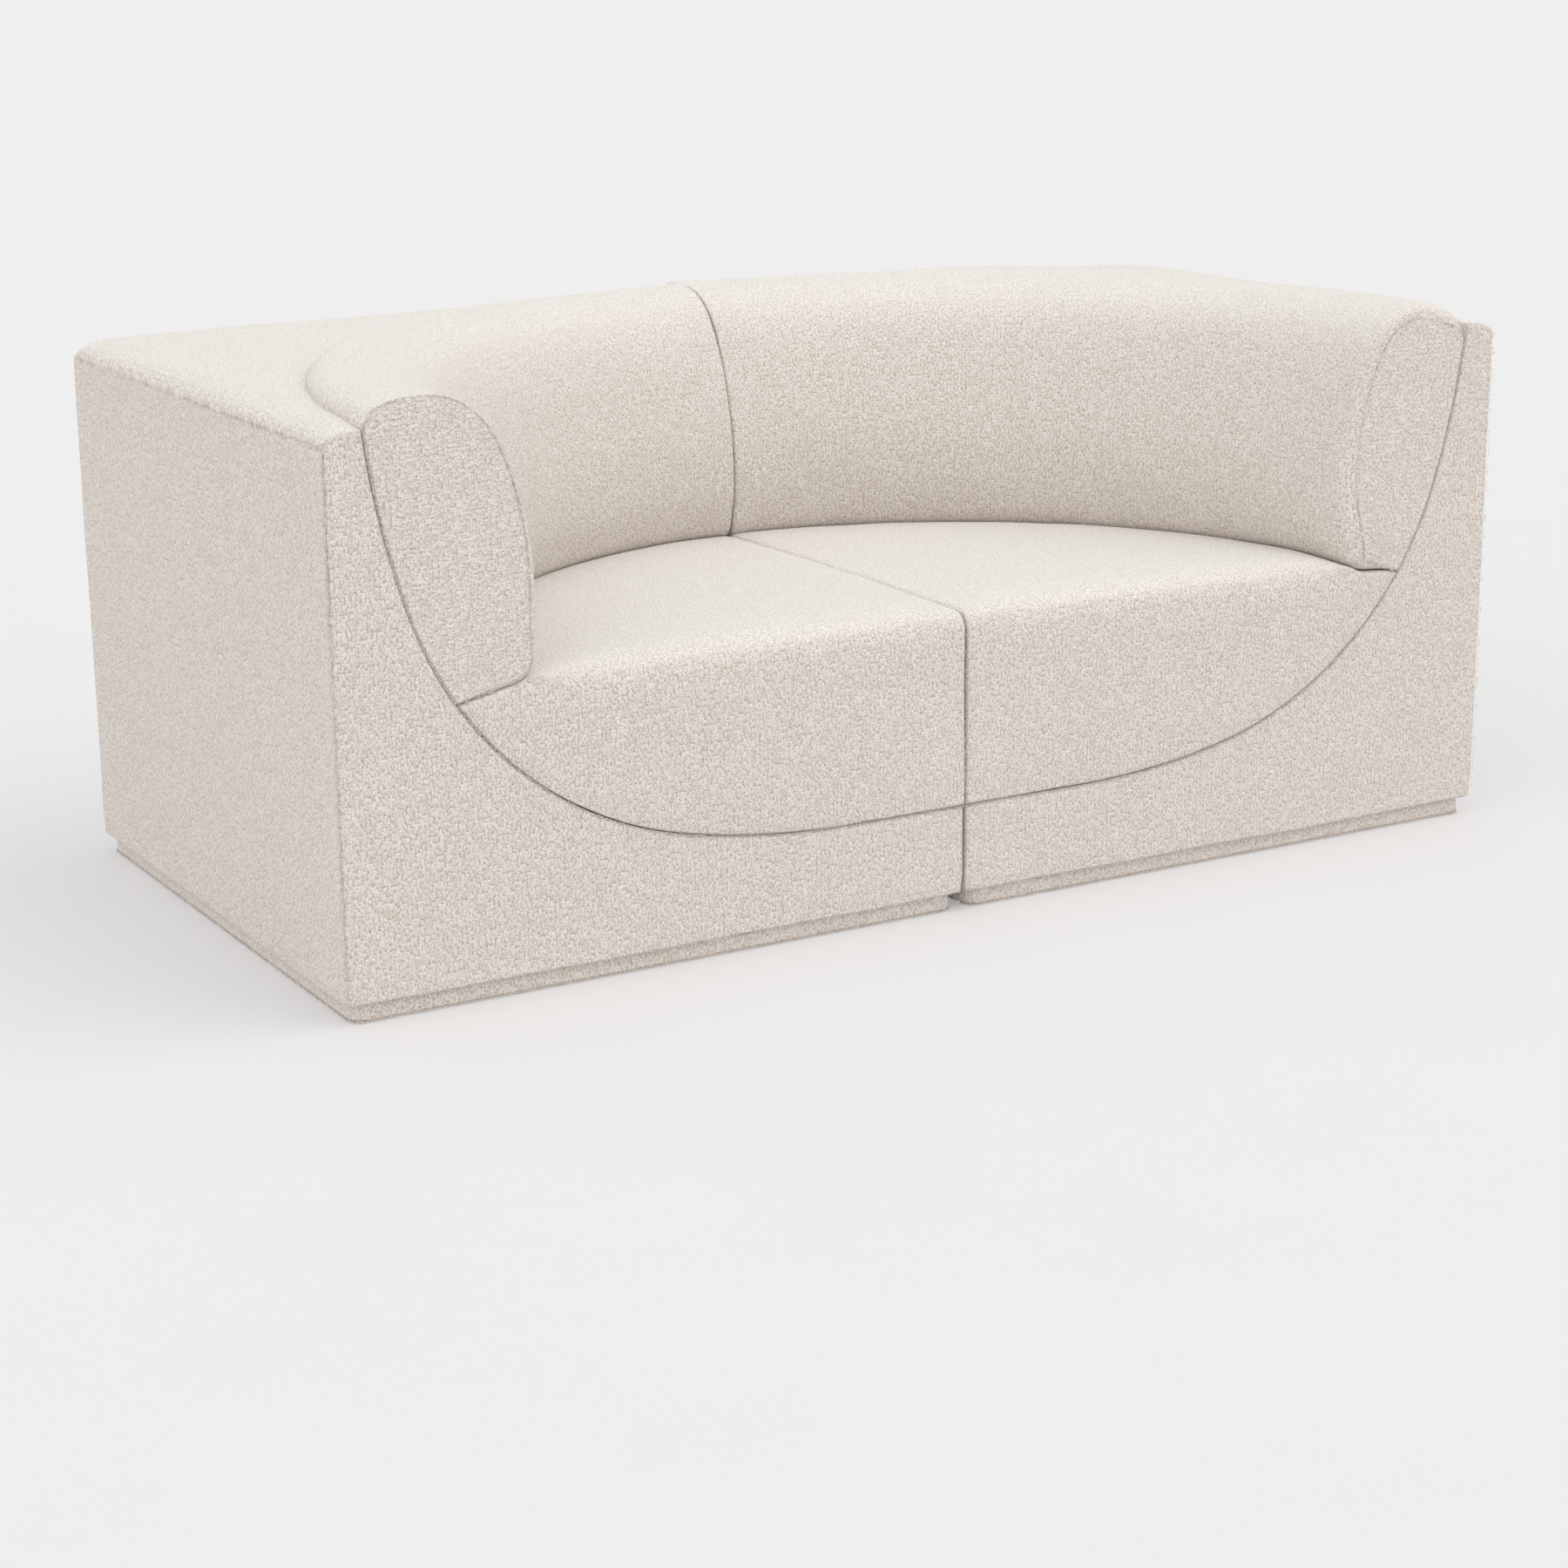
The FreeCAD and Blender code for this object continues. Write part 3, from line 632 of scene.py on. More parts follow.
def seat_cage():
    """The cover of the seat, with its outlines: on the front, at the joint, and at the crease."""
    cage = Cage()
    radius = CREASE[0]
    # Rows are close together where the top rolls over to the front and to the joint.
    rolls = np.array([0, 2, 6, 12, 20, 30]) * MM / radius
    u = graded(SEAT_CELLS, radius, (2 * MM, 3 * MM, 4 * MM), (4 * MM, 4 * MM))
    v = np.concatenate([rolls[:-1], np.linspace(rolls[-1], 1 - 8 * MM / radius, SEAT_CELLS - 6)])
    v = np.concatenate([v, [1 - 4 * MM / radius, 1]])
    grid_u, grid_v = np.meshgrid(u, v, indexing="ij")
    a = radius * grid_u * np.sqrt(1 - grid_v**2 / 2)
    b = radius * grid_v * np.sqrt(1 - grid_u**2 / 2)
    top = np.stack([a, b, seat_top(a, b)], -1)
    cage.add(top, np.stack([roll_length(a, JOINT_ROLL), roll_length(b, FRONT_ROLL)], -1))
    floor = np.stack([a, b, wall_height(np.hypot(a, b)) + 1 * MM], -1)
    cage.add(floor, floor[..., :2])

    # Outer rim under the bolster: from the crease round the toe to the foot, down the wall.
    under = np.vstack([toe_arc(CREASE_TURN, 80), [FOOT]]) - [[0, 1 * MM]]
    under[0] = CREASE
    under[-1] = [FOOT[0] - 1.2 * MM, FOOT[1] - 1.5 * MM]
    down = wall_between(FOOT[1], wall_height(radius))[1:] + [[-0.8 * MM, 0.8 * MM]]
    down[-1] = [radius, wall_height(radius) + 1 * MM]
    down = np.vstack([under[-1], down])
    under, down = (
        resample(run, graded(cells, length))
        for run, cells, length in zip((under, down), RIM_CELLS, RIM_RUNS, strict=True)
    )
    rim = np.vstack([under, down[1:]])
    rims = []
    for edge, low_edge in ((top[-1], floor[-1]), (top[:, -1], floor[:, -1])):
        strip = turned(rim, np.arctan2(edge[:, 1], edge[:, 0]))
        strip[0], strip[-1] = edge, low_edge
        cage.add(strip, strip[..., :2])
        rims.append(strip)
    front_rim, joint_rim = rims[0][:, 0], rims[1][:, 0]

    # Front and joint faces.
    height = top[0, 0, 2] - floor[0, 0, 2]
    post = top[0, 0] + (floor[0, 0] - top[0, 0]) * graded(len(rim) - 1, height)[:, None]
    front = coons(top[:, 0], floor[:, 0], post, front_rim)
    drop = front[..., 2] - (SEAT_EDGE_Z - FRONT_ROLL)
    cage.add(front, np.stack([roll_length(front[..., 0], JOINT_ROLL), drop], -1))
    joint = coons(top[0], floor[0], post, joint_rim)
    cage.add(joint, joint[..., [1, 2]])
    crease = turned([CREASE], np.linspace(0, math.pi / 2, 200))[0]
    return cage, [np.vstack([front_rim, floor[::-1, 0]]), post, crease]


def make_seat():
    """The plain seat, blown up, and its seams."""
    cage, (outline, post, crease) = seat_cage()
    mesh = subdivided(cage.mesh("seat"))
    points = co_of(mesh)
    r = np.hypot(points[:, 0], points[:, 1])
    held = distance_to(points, np.vstack([dense(outline), dense(post), crease])) < HOLD
    held |= (r > CREASE[0] - 1 * MM) & (points[:, 1] > 1 * MM)
    held |= points[:, 2] < wall_height(r) + HOLD
    held |= (points[:, 0] < 1.5 * MM) & (points[:, 2] < SEAT_EDGE_Z - JOINT_ROLL)
    up = np.clip(normals_of(mesh)[:, 2], 0, 1)
    mesh = blown_up(mesh, held, SEAT_SWELL + SEAT_TOP_SWELL * up)
    seams = [
        Seam(outline, 1.4 * MM, 1.8 * MM),
        Seam(post, 0.6 * MM, 1.6 * MM, out=(0, -1, 0), spacing=3 * MM),
    ]
    return subdivided(mesh), seams


# ---- the bolster ----

TURN_CELLS = 28  # in half a quarter turn
OUTLINE_CELLS = (11, 20, 11, 20)  # foot to toe, toe to nose, nose to lip, lip to foot
HALF_TURN = 0.53  # about how long half of the bolster's inner face is
NOSE_Z = 681 * MM  # where the inner face begins to lean back
BELLY_Z, BELLY_SPREAD = 490 * MM, 85 * MM  # the inner face bulges about this height
BELLY_RADIUS = 700 * MM  # and only inside this radius
BELLY_START = 7.2  # how soon it does so, going away from the end
PROUD_FADE, LIP_FADE = 4 * MM, 25 * MM  # how far from the end its swell and its low lip reach
UNDERSIDE_Z = 395 * MM
BOLSTER_SWELL = 4 * MM  # how far the cloth may swell
JOINT_END_ROLL = 4 * MM
LIP_OVERLAP = 3 * MM  # the bolster's edge presses that far into the soft rim of the shell
JOINT_PRESS = 1.0 * MM  # how far the cushions stand out into the gap between the modules


@dataclass
class EndStyle:
    """How a bolster's front end is sewn, which differs between the modules."""

    belly: float  # how far the inner face bulges away from the end
    swell: float  # how far the body stands proud of the seam round the end panel
    roll: float  # rounding from the body to a smaller end panel
    lip_drop: float  # how much lower the panel's outer top corner lies
    seam: float  # how deep the seam round the panel is drawn in


END_STYLES = {
    "left": EndStyle(belly=8 * MM, swell=6 * MM, roll=2 * MM, lip_drop=0, seam=1.6 * MM),
    "right": EndStyle(belly=12 * MM, swell=0, roll=20 * MM, lip_drop=20 * MM, seam=0.8 * MM),
}


def bolster_outline(bulge):
    """The closed section in four runs, from the foot round the inner face and over the top. bulge
    is how far its inner face stands out."""
    lip = np.array([wall_radius(LIP_Z), LIP_Z])
    cheek = walk(TOP, 0, [(0.230, -14)])
    shoulder = [cheek[-1], cheek[-1] + [12 * MM, -7 * MM], lip + [-1 * MM, 9 * MM], lip]
    nose = np.argmin(np.abs(inner_face[:, 1] - NOSE_Z))
    toe = toe_arc(80, 0)
    runs = [
        np.vstack([[FOOT], toe[:6]]),
        np.vstack([toe[5:], inner_face[::-1][1 : len(inner_face) - nose]]),
        np.vstack([inner_face[: nose + 1][::-1], cheek[1:], shoulder[1:]]),
        wall_between(lip[1], FOOT[1]),
    ]
    ends = [((4 * MM,), ()), ((), ()), ((), (4 * MM,)), ((4 * MM,), (4 * MM,))]
    loop = []
    for run, count, (near, far) in zip(runs, OUTLINE_CELLS, ends, strict=True):
        run = resample(run, graded(count, run_length(run)[-1], near, far))
        out = bulge * np.exp(-(((run[:, 1] - BELLY_Z) / BELLY_SPREAD) ** 2))
        run[:, 0] -= out * (run[:, 0] < BELLY_RADIUS)
        loop.append(run)
    return loop


def drawn_in(loop, inset, swell, drop):
    """The section with its free side drawn in, its inner face swollen, and its lip lowered along
    the wall of the recess."""
    ring = np.vstack([run[:-1] for run in loop])
    ahead = np.roll(ring, -1, 0) - np.roll(ring, 1, 0)
    out = np.stack([-ahead[:, 1], ahead[:, 0]], -1) / np.linalg.norm(ahead, axis=1)[:, None]
    under, inner, over, wall = (np.linspace(0, 1, n, endpoint=False) for n in OUTLINE_CELLS)
    none, some = np.zeros_like, np.ones_like
    free = np.concatenate([ease(under, 0.1, 1), some(inner), 1 - ease(over, 0.7, 1), none(wall)])
    low_lip = [none(under), none(inner), ease(over, 0.45, 1), 1 - ease(wall, 0, 0.5)]
    face = ease(ring[:, 1], 0.41, 0.46) * (1 - ease(ring[:, 1], 0.62, 0.71)) * free
    ring = ring + out * (swell * face - inset * free)[:, None]
    ring[:, 1] -= drop * np.concatenate(low_lip)
    on_wall = ring[-OUTLINE_CELLS[-1] :]
    on_wall[:, 0] = wall_radius(on_wall[:, 1])
    return np.vstack([ring, ring[:1]])


def bolster_cage(style):
    """The cover of the bolster, the outlines of its front and joint ends, and the line of its middle
    seam."""
    cage = Cage()
    first_cells = np.array([2, 3, 4, 6, 9]) * MM
    half = graded(TURN_CELLS, HALF_TURN, first_cells, (10 * MM,)) * math.pi / 4
    theta = np.concatenate([half, math.pi / 2 - half[::-1][1:]])
    rings = []
    for angle in theta:
        loop = bolster_outline(style.belly * (1 - math.exp(-angle * BELLY_START)))
        from_front, from_joint = TOP[0] * angle, TOP[0] * (math.pi / 2 - angle)
        inset = max(roll_drop(from_front, style.roll), roll_drop(from_joint, JOINT_END_ROLL))
        swell = style.swell * (1 - math.exp(-from_front / PROUD_FADE))
        drop = style.lip_drop * math.exp(-from_front / LIP_FADE)
        rings.append(drawn_in(loop, inset, swell, drop))
    rings = np.array(rings)
    body = turned(rings.transpose(1, 0, 2), theta)
    middle = body[:, len(theta) // 2]
    across = np.mean([run_length(line) for line in body[20::20]], axis=0)
    cloth = np.stack(np.broadcast_arrays(across, run_length(middle)[:, None]), -1)
    cage.add(body, cloth)
    corners = np.cumsum((0, *OUTLINE_CELLS))
    for angle, ring in ((0, rings[0]), (math.pi / 2, rings[-1])):
        foot_toe, toe_nose, nose_lip, lip_foot = (
            ring[first : last + 1] for first, last in zip(corners, corners[1:])
        )
        cap = coons(foot_toe, nose_lip[::-1], lip_foot[::-1], toe_nose)
        cage.add(turned(cap, np.full(cap.shape[1], angle)), cap[..., ::-1])
    return cage, body[:, 0], body[:, -1], middle


def make_bolster(style):
    """The bolster, blown up, and its seams. The line where it meets the seat is drawn in too, with a
    broad band of painted shade along it.
    """
    cage, end, joint_end, middle = bolster_cage(style)
    mesh = subdivided(cage.mesh("bolster"))
    points = co_of(mesh)
    r = np.hypot(points[:, 0], points[:, 1])
    held = distance_to(points, np.vstack([dense(end), dense(joint_end)])) < HOLD
    held |= r > wall_radius(points[:, 2]) - 4 * MM
    held |= (points[:, 0] < 2 * MM) | (points[:, 2] < UNDERSIDE_Z)
    mesh = blown_up(mesh, held, np.full(len(points), BOLSTER_SWELL))
    crease = turned([CREASE], np.linspace(0, math.pi / 2, 200))[0]
    seams = [
        Seam(end, style.seam, 1.8 * MM, out=(0, -1, 0), spacing=2.5 * MM),
        Seam(middle, 0.5 * MM, 2.5 * MM),
        # Drawn in only a little but broad: mostly painted shade along the bolster's foot at the crease.
        Seam(crease, 0.6 * MM, 8 * MM),
    ]
    return subdivided(mesh), seams


# ---- the plinth ----

PLINTH_ROUND = 15 * MM
PLINTH_BOTTOM = 2.2 * MM
BAND_THICK = 2.6 * MM
EDGE_LOOPS = 1700  # loops of loose yarn along the cut lower edge


def plinth_outline(step):
    """The plinth's outline in plan, closed, with rounded corners, the way outwards, and the length
    along it."""
    reach = (plinth_high.x - plinth_low.x) / 2
    angles = np.radians(np.arange(0, 91, 6))
    corners, out = [], []
    for quarter in range(4):
        turn = quarter * math.pi / 2 - math.pi / 2
        ray = np.stack([np.cos(turn + angles), np.sin(turn + angles)], -1)
        heart = np.array([math.cos(turn + math.pi / 4), math.sin(turn + math.pi / 4)]) * math.sqrt(2)
        corners.append(SIDE / 2 + heart * (reach - PLINTH_ROUND) + ray * PLINTH_ROUND)
        out.append(ray)
    corners, out = np.vstack([*corners, corners[0][:1]]), np.vstack([*out, out[0][:1]])
    count = round(run_length(corners)[-1] / step)
    along = np.linspace(0, run_length(corners)[-1], count + 1)
    spots = np.stack([np.interp(along, run_length(corners), corners[:, k]) for k in range(2)], -1)
    rays = np.stack([np.interp(along, run_length(corners), out[:, k]) for k in range(2)], -1)
    return spots, rays / np.linalg.norm(rays, axis=1)[:, None], along


def make_plinth():
    """The band round the plinth, with loose yarn along its cut edge. It has no seams."""
    cage = Cage()
    spots, rays, along = plinth_outline(9 * MM)
    top, low = SKIRT - 0.4 * MM, PLINTH_BOTTOM
    section = [
        (-BAND_THICK, top),
        (-0.6 * MM, top),
        (0, top - 2 * MM),
        (0.5 * MM, 15 * MM),
        (0.4 * MM, 7 * MM),
        (0, low + 1.5 * MM),
        (-0.8 * MM, low),
        (-BAND_THICK, low),
        (-BAND_THICK, 12 * MM),
        (-BAND_THICK, top),
    ]
    wall = []
    for offset, z in section:
        flat = spots + rays * offset
        wall.append(np.column_stack([flat, np.full(len(flat), z)]))
    wall = np.array(wall)
    height = run_length(np.array(section))
    cage.add(wall, np.stack(np.meshgrid(height, along, indexing="ij")[::-1], -1))
    mesh = subdivided(cage.mesh("band"))

    random = np.random.default_rng(5)
    spots, rays, along = plinth_outline(1 * MM)
    pick = random.integers(0, len(spots) - 1, EDGE_LOOPS)
    out = np.pad(rays[pick], [(0, 0), (0, 1)])
    tangent = np.cross([0, 0, 1], out)
    size = random.uniform([1.2, 0.7, -0.7], [2.4, 1.0, 1.0], (EDGE_LOOPS, 3)) * MM
    feet = np.column_stack([spots[pick], np.full(EDGE_LOOPS, PLINTH_BOTTOM + 1.9 * MM)])
    rise = [0, 0, -1] * size[:, 1:2] * (PLINTH_BOTTOM / MM + 1.2) + out * size[:, 2:]
    yarn = yarn_loops(feet, tangent * size[:, :1], rise, HEM_YARN)
    return joined(mesh, yarn), []


# ---- placing the pieces ----

TOE_OUT, TOE_DOWN = 20 * MM, 14 * MM  # how far the toe of the right bolster's end is moved
LEFT_SEED = 50  # added to a piece's seed in the left module


def sewn(points, name, side):
    """A piece's points where they lie in its own module: on its shell's top, pressed against their
    neighbours, and on the right with the toe of the bolster's end lower on the seat."""
    a, b, z = points.T
    if name == "shell_cover":
        return lift_lid(points, side)
    r = np.hypot(a, b)
    lift, spread = 0, 1
    if name == "back_bolster":
        near_lip = ease(r, RIM[0] - 25 * MM, RIM[0]) * ease(z, SEAM, lid_top) * ease(b, 0, 30 * MM)
        spread = 1 + LIP_OVERLAP * near_lip / r
        lift = lid_lift(side, a, b) * ease(r, TOP[0] + 15 * MM, RIM[0]) * ease(z, SEAM - 30 * MM, SEAM)
    if side == "right":
        in_section = ((r - TOE[0]) / (45 * MM)) ** 2 + ((z - TOE[1]) / (50 * MM)) ** 2
        near_toe = np.exp(-in_section - (b / (60 * MM)) ** 2)
        lift = lift - TOE_DOWN * near_toe
        a = a + TOE_OUT * near_toe
    a = a - JOINT_PRESS * np.exp(-((a / (12 * MM)) ** 2))
    return np.stack([a * spread, b * spread, z + lift], -1)


def place(mesh, seams, name, side, seed, replaced, material):
    """One module's copy of a piece: its own unevenness, its seams drawn in, its place and its
    body."""
    mesh = mesh.copy()
    mesh.name = f"{side}_{name}"
    seed += LEFT_SEED if side == "left" else 0
    if seams:
        set_co(mesh, sewn(co_of(mesh), name, side))
        seams = [replace(seam, line=sewn(np.asarray(seam.line, float), name, side)) for seam in seams]
        soften(mesh, seed)
        press_seams(mesh, seams, seed)
        for i, seam in enumerate(seams):
            if seam.spacing:
                mesh = joined(mesh, seam_yarn(seam, seed + i))
    sign = 1 if side == "right" else -1
    points = co_of(mesh)
    set_co(mesh, points * [sign, 1, 1] + [sign * HALF_GAP, FRONT, 0])
    if sign < 0:
        mesh.flip_normals()
    mesh.materials.clear()
    mesh.materials.append(material)
    obj = add_object(mesh.name, mesh)
    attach(obj, side + "_module")
    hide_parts(*[f"{side}_{node}" for node in replaced])
    return obj


# ---- materials ----


class Shader:
    """A material's node tree, with short ways to add nodes and sums."""

    def __init__(self, name):
        self.material = bpy.data.materials.new(name)
        self.material.use_nodes = True
        self.tree = self.material.node_tree
        self.surface = self.tree.nodes["Principled BSDF"]

    def node(self, kind, inputs=None, **settings):
        made = self.tree.nodes.new("ShaderNode" + kind)
        for key, value in settings.items():
            setattr(made, key, value)
        for key, value in (inputs or {}).items():
            self.feed(made.inputs[key], value)
        return made

    def feed(self, socket, value):
        if isinstance(value, bpy.types.NodeSocket):
            self.tree.links.new(value, socket)
        else:
            socket.default_value = value

    def sum(self, operation, *values, clamp=False):
        inputs = dict(enumerate(values))
        return self.node("Math", inputs, operation=operation, use_clamp=clamp).outputs[0]

    def mix(self, share, one, other):
        made = self.node("Mix", data_type="RGBA")
        for socket, value in zip((made.inputs[0], made.inputs[6], made.inputs[7]), (share, one, other)):
            self.feed(socket, value)
        return made.outputs[2]

    def ramp(self, value, low, high, to_low=0.0, to_high=1.0):
        inputs = {0: value, 1: low, 2: high, 3: to_low, 4: to_high}
        return self.node("MapRange", inputs, interpolation_type="SMOOTHSTEP").outputs[0]

    def noise(self, where, scale, detail=2.0, output="Fac", **inputs):
        values = {"Vector": where, "Scale": scale, "Detail": detail, **inputs}
        return self.node("TexNoise", values).outputs[output]

    def finish(self, colour, roughness, height=None, depth=0.001, strength=1.0, **constants):
        self.feed(self.surface.inputs["Base Color"], colour)
        self.feed(self.surface.inputs["Roughness"], roughness)
        for key, value in constants.items():
            self.surface.inputs[key.replace("_", " ")].default_value = value
        if height is not None:
            inputs = {"Strength": strength, "Distance": depth, "Height": height}
            bump = self.node("Bump", inputs).outputs[0]
            self.feed(self.surface.inputs["Normal"], bump)
        return self.material


LOOPS, KNOTS = 350.0, 780.0  # yarn loops and finer knots in a metre
ROW = 0.0062  # from one upright row of yarn to the next
RELIEF = 0.0014  # of the yarn
THREAD = 0.0022  # from one thread of the webbing to the next
PLY = 0.003  # thickness of two plies


def boucle_material():
    """Cream loop yarn: curled loops 3 to 4 mm across in uneven upright rows, each loop a slightly
    different cream, with painted shade in the pits where loops meet and along the seams. Faces that look
    up are painted lighter, with fainter pits and no duller loops."""
    s = Shader("boucle")
    cloth = s.node("UVMap", uv_map="cloth").outputs[0]
    push = s.noise(cloth, 120.0, 3.0, "Color")
    push = s.node("VectorMath", {0: push, 1: (0.5, 0.5, 0.5)}, operation="SUBTRACT").outputs[0]
    push = s.node("VectorMath", {0: push, "Scale": 0.004}, operation="SCALE").outputs[0]
    bent = s.node("VectorMath", {0: cloth, 1: push}, operation="ADD").outputs[0]
    rows = s.node("VectorMath", {0: bent, 1: (1.0, 0.72, 1.0)}, operation="MULTIPLY").outputs[0]
    uneven = {"Vector": rows, "Scale": LOOPS, "Randomness": 0.7}
    loop = s.node("TexVoronoi", uneven, voronoi_dimensions="2D")
    knot = s.node("TexVoronoi", {"Vector": bent, "Scale": KNOTS}, voronoi_dimensions="2D")
    dome = s.ramp(loop.outputs["Distance"], 0.05, 0.75, 1.0, 0.0)
    small = s.ramp(knot.outputs["Distance"], 0.1, 0.7, 1.0, 0.0)
    fibre = s.noise(bent, 1500.0, 3.0)
    across = s.node("SeparateXYZ", {0: bent}).outputs[0]
    rib = s.sum("SINE", s.sum("MULTIPLY", across, 2 * math.pi / ROW))
    patchy = s.ramp(s.noise(cloth, 38.0, 2.0), 0.35, 0.65)
    height = s.sum("MULTIPLY", dome, 0.6)
    for part, weight in ((small, 0.30), (s.sum("MULTIPLY", rib, patchy), 0.08), (fibre, 0.30)):
        height = s.sum("MULTIPLY_ADD", part, weight, height)
    # Painted light: faces that look up lose most of their dark pits and their duller loops, the way
    # light from above fills them in.
    facing_up = s.node("SeparateXYZ", {0: s.node("NewGeometry").outputs["Normal"]}).outputs[2]
    flat = s.ramp(facing_up, 0.2, 0.9, 0.0, 0.55)
    lit = s.sum("MAXIMUM", s.ramp(height, 0.10, 0.62), flat)
    picked = s.node("SeparateColor", {0: loop.outputs["Color"]})
    cloudy = s.noise(cloth, 9.0, 3.0)
    warm = s.sum("MULTIPLY_ADD", cloudy, 0.6, s.sum("MULTIPLY", picked.outputs[0], 0.5), clamp=True)
    yarn = s.mix(warm, (0.932, 0.893, 0.878, 1), (0.942, 0.879, 0.838, 1))
    # Random duller loops, a real change of tone, but kept only on faces that do not look up, so they
    # also act as painted shade on the sides.
    dull_loops_and_side_shade = s.sum("MULTIPLY", picked.outputs[1], s.sum("SUBTRACT", 1.0, flat))
    yarn = s.mix(dull_loops_and_side_shade, yarn, (0.752, 0.680, 0.627, 1))
    # Painted shade in the pits where loops meet: yarn lying low gets the dark pit colour unless it is
    # lit.
    shade = s.mix(lit, (0.46, 0.40, 0.34, 1), yarn)
    # Painted shade along the seams, darker the nearer and deeper the seam, broken into dashes that also
    # stand for dark stitching.
    seam = s.node("Attribute", attribute_name="seam").outputs["Fac"]
    dash = s.ramp(s.noise(cloth, 150.0, 1.0), 0.36, 0.60, 1.0, 0.15)
    shade = s.mix(s.sum("MULTIPLY", seam, s.sum("MULTIPLY", dash, 0.75)), shade, (0.15, 0.12, 0.095, 1))
    return s.finish(
        shade, 0.95, height, RELIEF, 0.85,
        Sheen_Weight=0.2, Sheen_Roughness=0.5, Specular_IOR_Level=0.12,
    )


def wood_material(name, light, dark, plies):
    """Sawn wood with its grain along X, or plywood, whose cut edges show the plies."""
    s = Shader(name)
    where = s.node("TexCoord").outputs["Object"]
    grain = s.node("Mapping", {"Vector": where, "Scale": (3.0, 26.0, 26.0)}).outputs[0]
    figure = s.node("TexWave", {"Vector": grain, "Scale": 0.6, "Distortion": 6.0, "Detail": 3.0})
    strands = s.node("Mapping", {"Vector": where, "Scale": (30.0, 600.0, 600.0)}).outputs[0]
    fibre = s.noise(strands, 1.0, 4.0)
    share = s.sum("MULTIPLY_ADD", fibre, 0.5, s.sum("MULTIPLY", figure.outputs["Fac"], 0.5))
    if plies:
        up = s.node("SeparateXYZ", {0: where}).outputs[2]
        ply = s.sum("SINE", s.sum("MULTIPLY", up, 2 * math.pi / PLY))
        share = s.sum("MULTIPLY_ADD", ply, 0.12, share)
    return s.finish(s.mix(share, light, dark), s.ramp(fibre, 0.2, 0.8, 0.55, 0.75), fibre, 0.0003, 0.5)


def speckled_material(name, colour, other, scale, roughness, depth, **constants):
    """A plain surface with a fine grain: foam, lining, moulded plastic or brushed metal."""
    s = Shader(name)
    where = s.node("TexCoord").outputs["Object"]
    grain = s.noise(where, scale, 4.0)
    patch = s.noise(where, scale / 18, 2.0)
    share = s.sum("MULTIPLY_ADD", patch, 0.4, s.sum("MULTIPLY", grain, 0.6))
    rough = s.ramp(grain, 0.3, 0.7, roughness - 0.06, roughness + 0.06)
    return s.finish(s.mix(share, colour, other), rough, grain, depth, 0.6, **constants)


def webbing_material():
    """Woven straps: a twill with pale marker threads."""
    s = Shader("webbing")
    where = s.node("TexCoord").outputs["Object"]
    x, y = (s.node("SeparateXYZ", {0: where}).outputs[k] for k in (0, 1))
    warp = s.sum("SINE", s.sum("MULTIPLY", x, 2 * math.pi / THREAD))
    weft = s.sum("SINE", s.sum("MULTIPLY", y, 2 * math.pi / THREAD))
    weave = s.sum("MULTIPLY", warp, weft)
    colour = s.mix(s.ramp(weave, -1.0, 1.0), (0.07, 0.065, 0.06, 1), (0.22, 0.20, 0.18, 1))
    return s.finish(colour, 0.8, weave, 0.0003, 0.7)


boucle = boucle_material()
finishes = {
    "foam": speckled_material("foam", (0.86, 0.80, 0.64, 1), (0.74, 0.68, 0.50, 1), 700.0, 0.95, 0.0004),
    "plywood": wood_material("plywood", (0.74, 0.58, 0.39, 1), (0.55, 0.39, 0.23, 1), True),
    "timber": wood_material("timber", (0.78, 0.63, 0.43, 1), (0.60, 0.44, 0.26, 1), False),
    "lining": speckled_material(
        "lining", (0.035, 0.035, 0.04, 1), (0.07, 0.07, 0.075, 1), 1500.0, 0.9, 0.0003
    ),
    "webbing": webbing_material(),
    "steel": speckled_material(
        "steel", (0.56, 0.56, 0.57, 1), (0.68, 0.68, 0.69, 1), 900.0, 0.34, 0.00005, Metallic=1.0
    ),
    "glide_plastic": speckled_material(
        "glide_plastic", (0.04, 0.04, 0.042, 1), (0.065, 0.065, 0.067, 1), 1200.0, 0.5, 0.0001
    ),
    "socket_plastic": speckled_material(
        "socket_plastic", (0.05, 0.05, 0.052, 1), (0.08, 0.08, 0.083, 1), 1200.0, 0.55, 0.0001
    ),
    "boucle": boucle,
}
for part in frame["record"]["subparts"]:
    mesh = bpy.data.objects[part["node"]].data
    if not mesh.materials:
        mesh.materials.append(None)
    for i in range(len(mesh.materials)):
        mesh.materials[i] = finishes[part["material_slot"]]


# ---- build ----

shell_nodes = ["front_cover", "joint_cover", "outer_cover", "back_cover", "top_cover"]
shell, seat, plinth = make_shell(), make_seat(), make_plinth()
for side in ("right", "left"):
    made = {  # mesh, seams, seed and the CAD nodes that the piece replaces
        "shell_cover": (*shell, 3, shell_nodes),
        "seat_cushion": (*seat, 11, ["seat_cover"]),
        "back_bolster": (*make_bolster(END_STYLES[side]), 23, ["bolster_cover"]),
        "plinth_band": (*plinth, 31, ["plinth_cover"]),
    }
    for name, (mesh, seams, seed, replaced) in made.items():
        piece = place(mesh, seams, name, side, seed, replaced, boucle)


# ---- camera, light and floor ----

CAMERA_ANGLES = (-30.193, 15.626, -0.471)  # azimuth, elevation and roll in degrees
CAMERA_AT = (-2.2195, -3.7804, 1.2951)
LENS, FILM = 74.343, 36  # in millimetres
REACH = 40  # from the sofa to the floor's edges


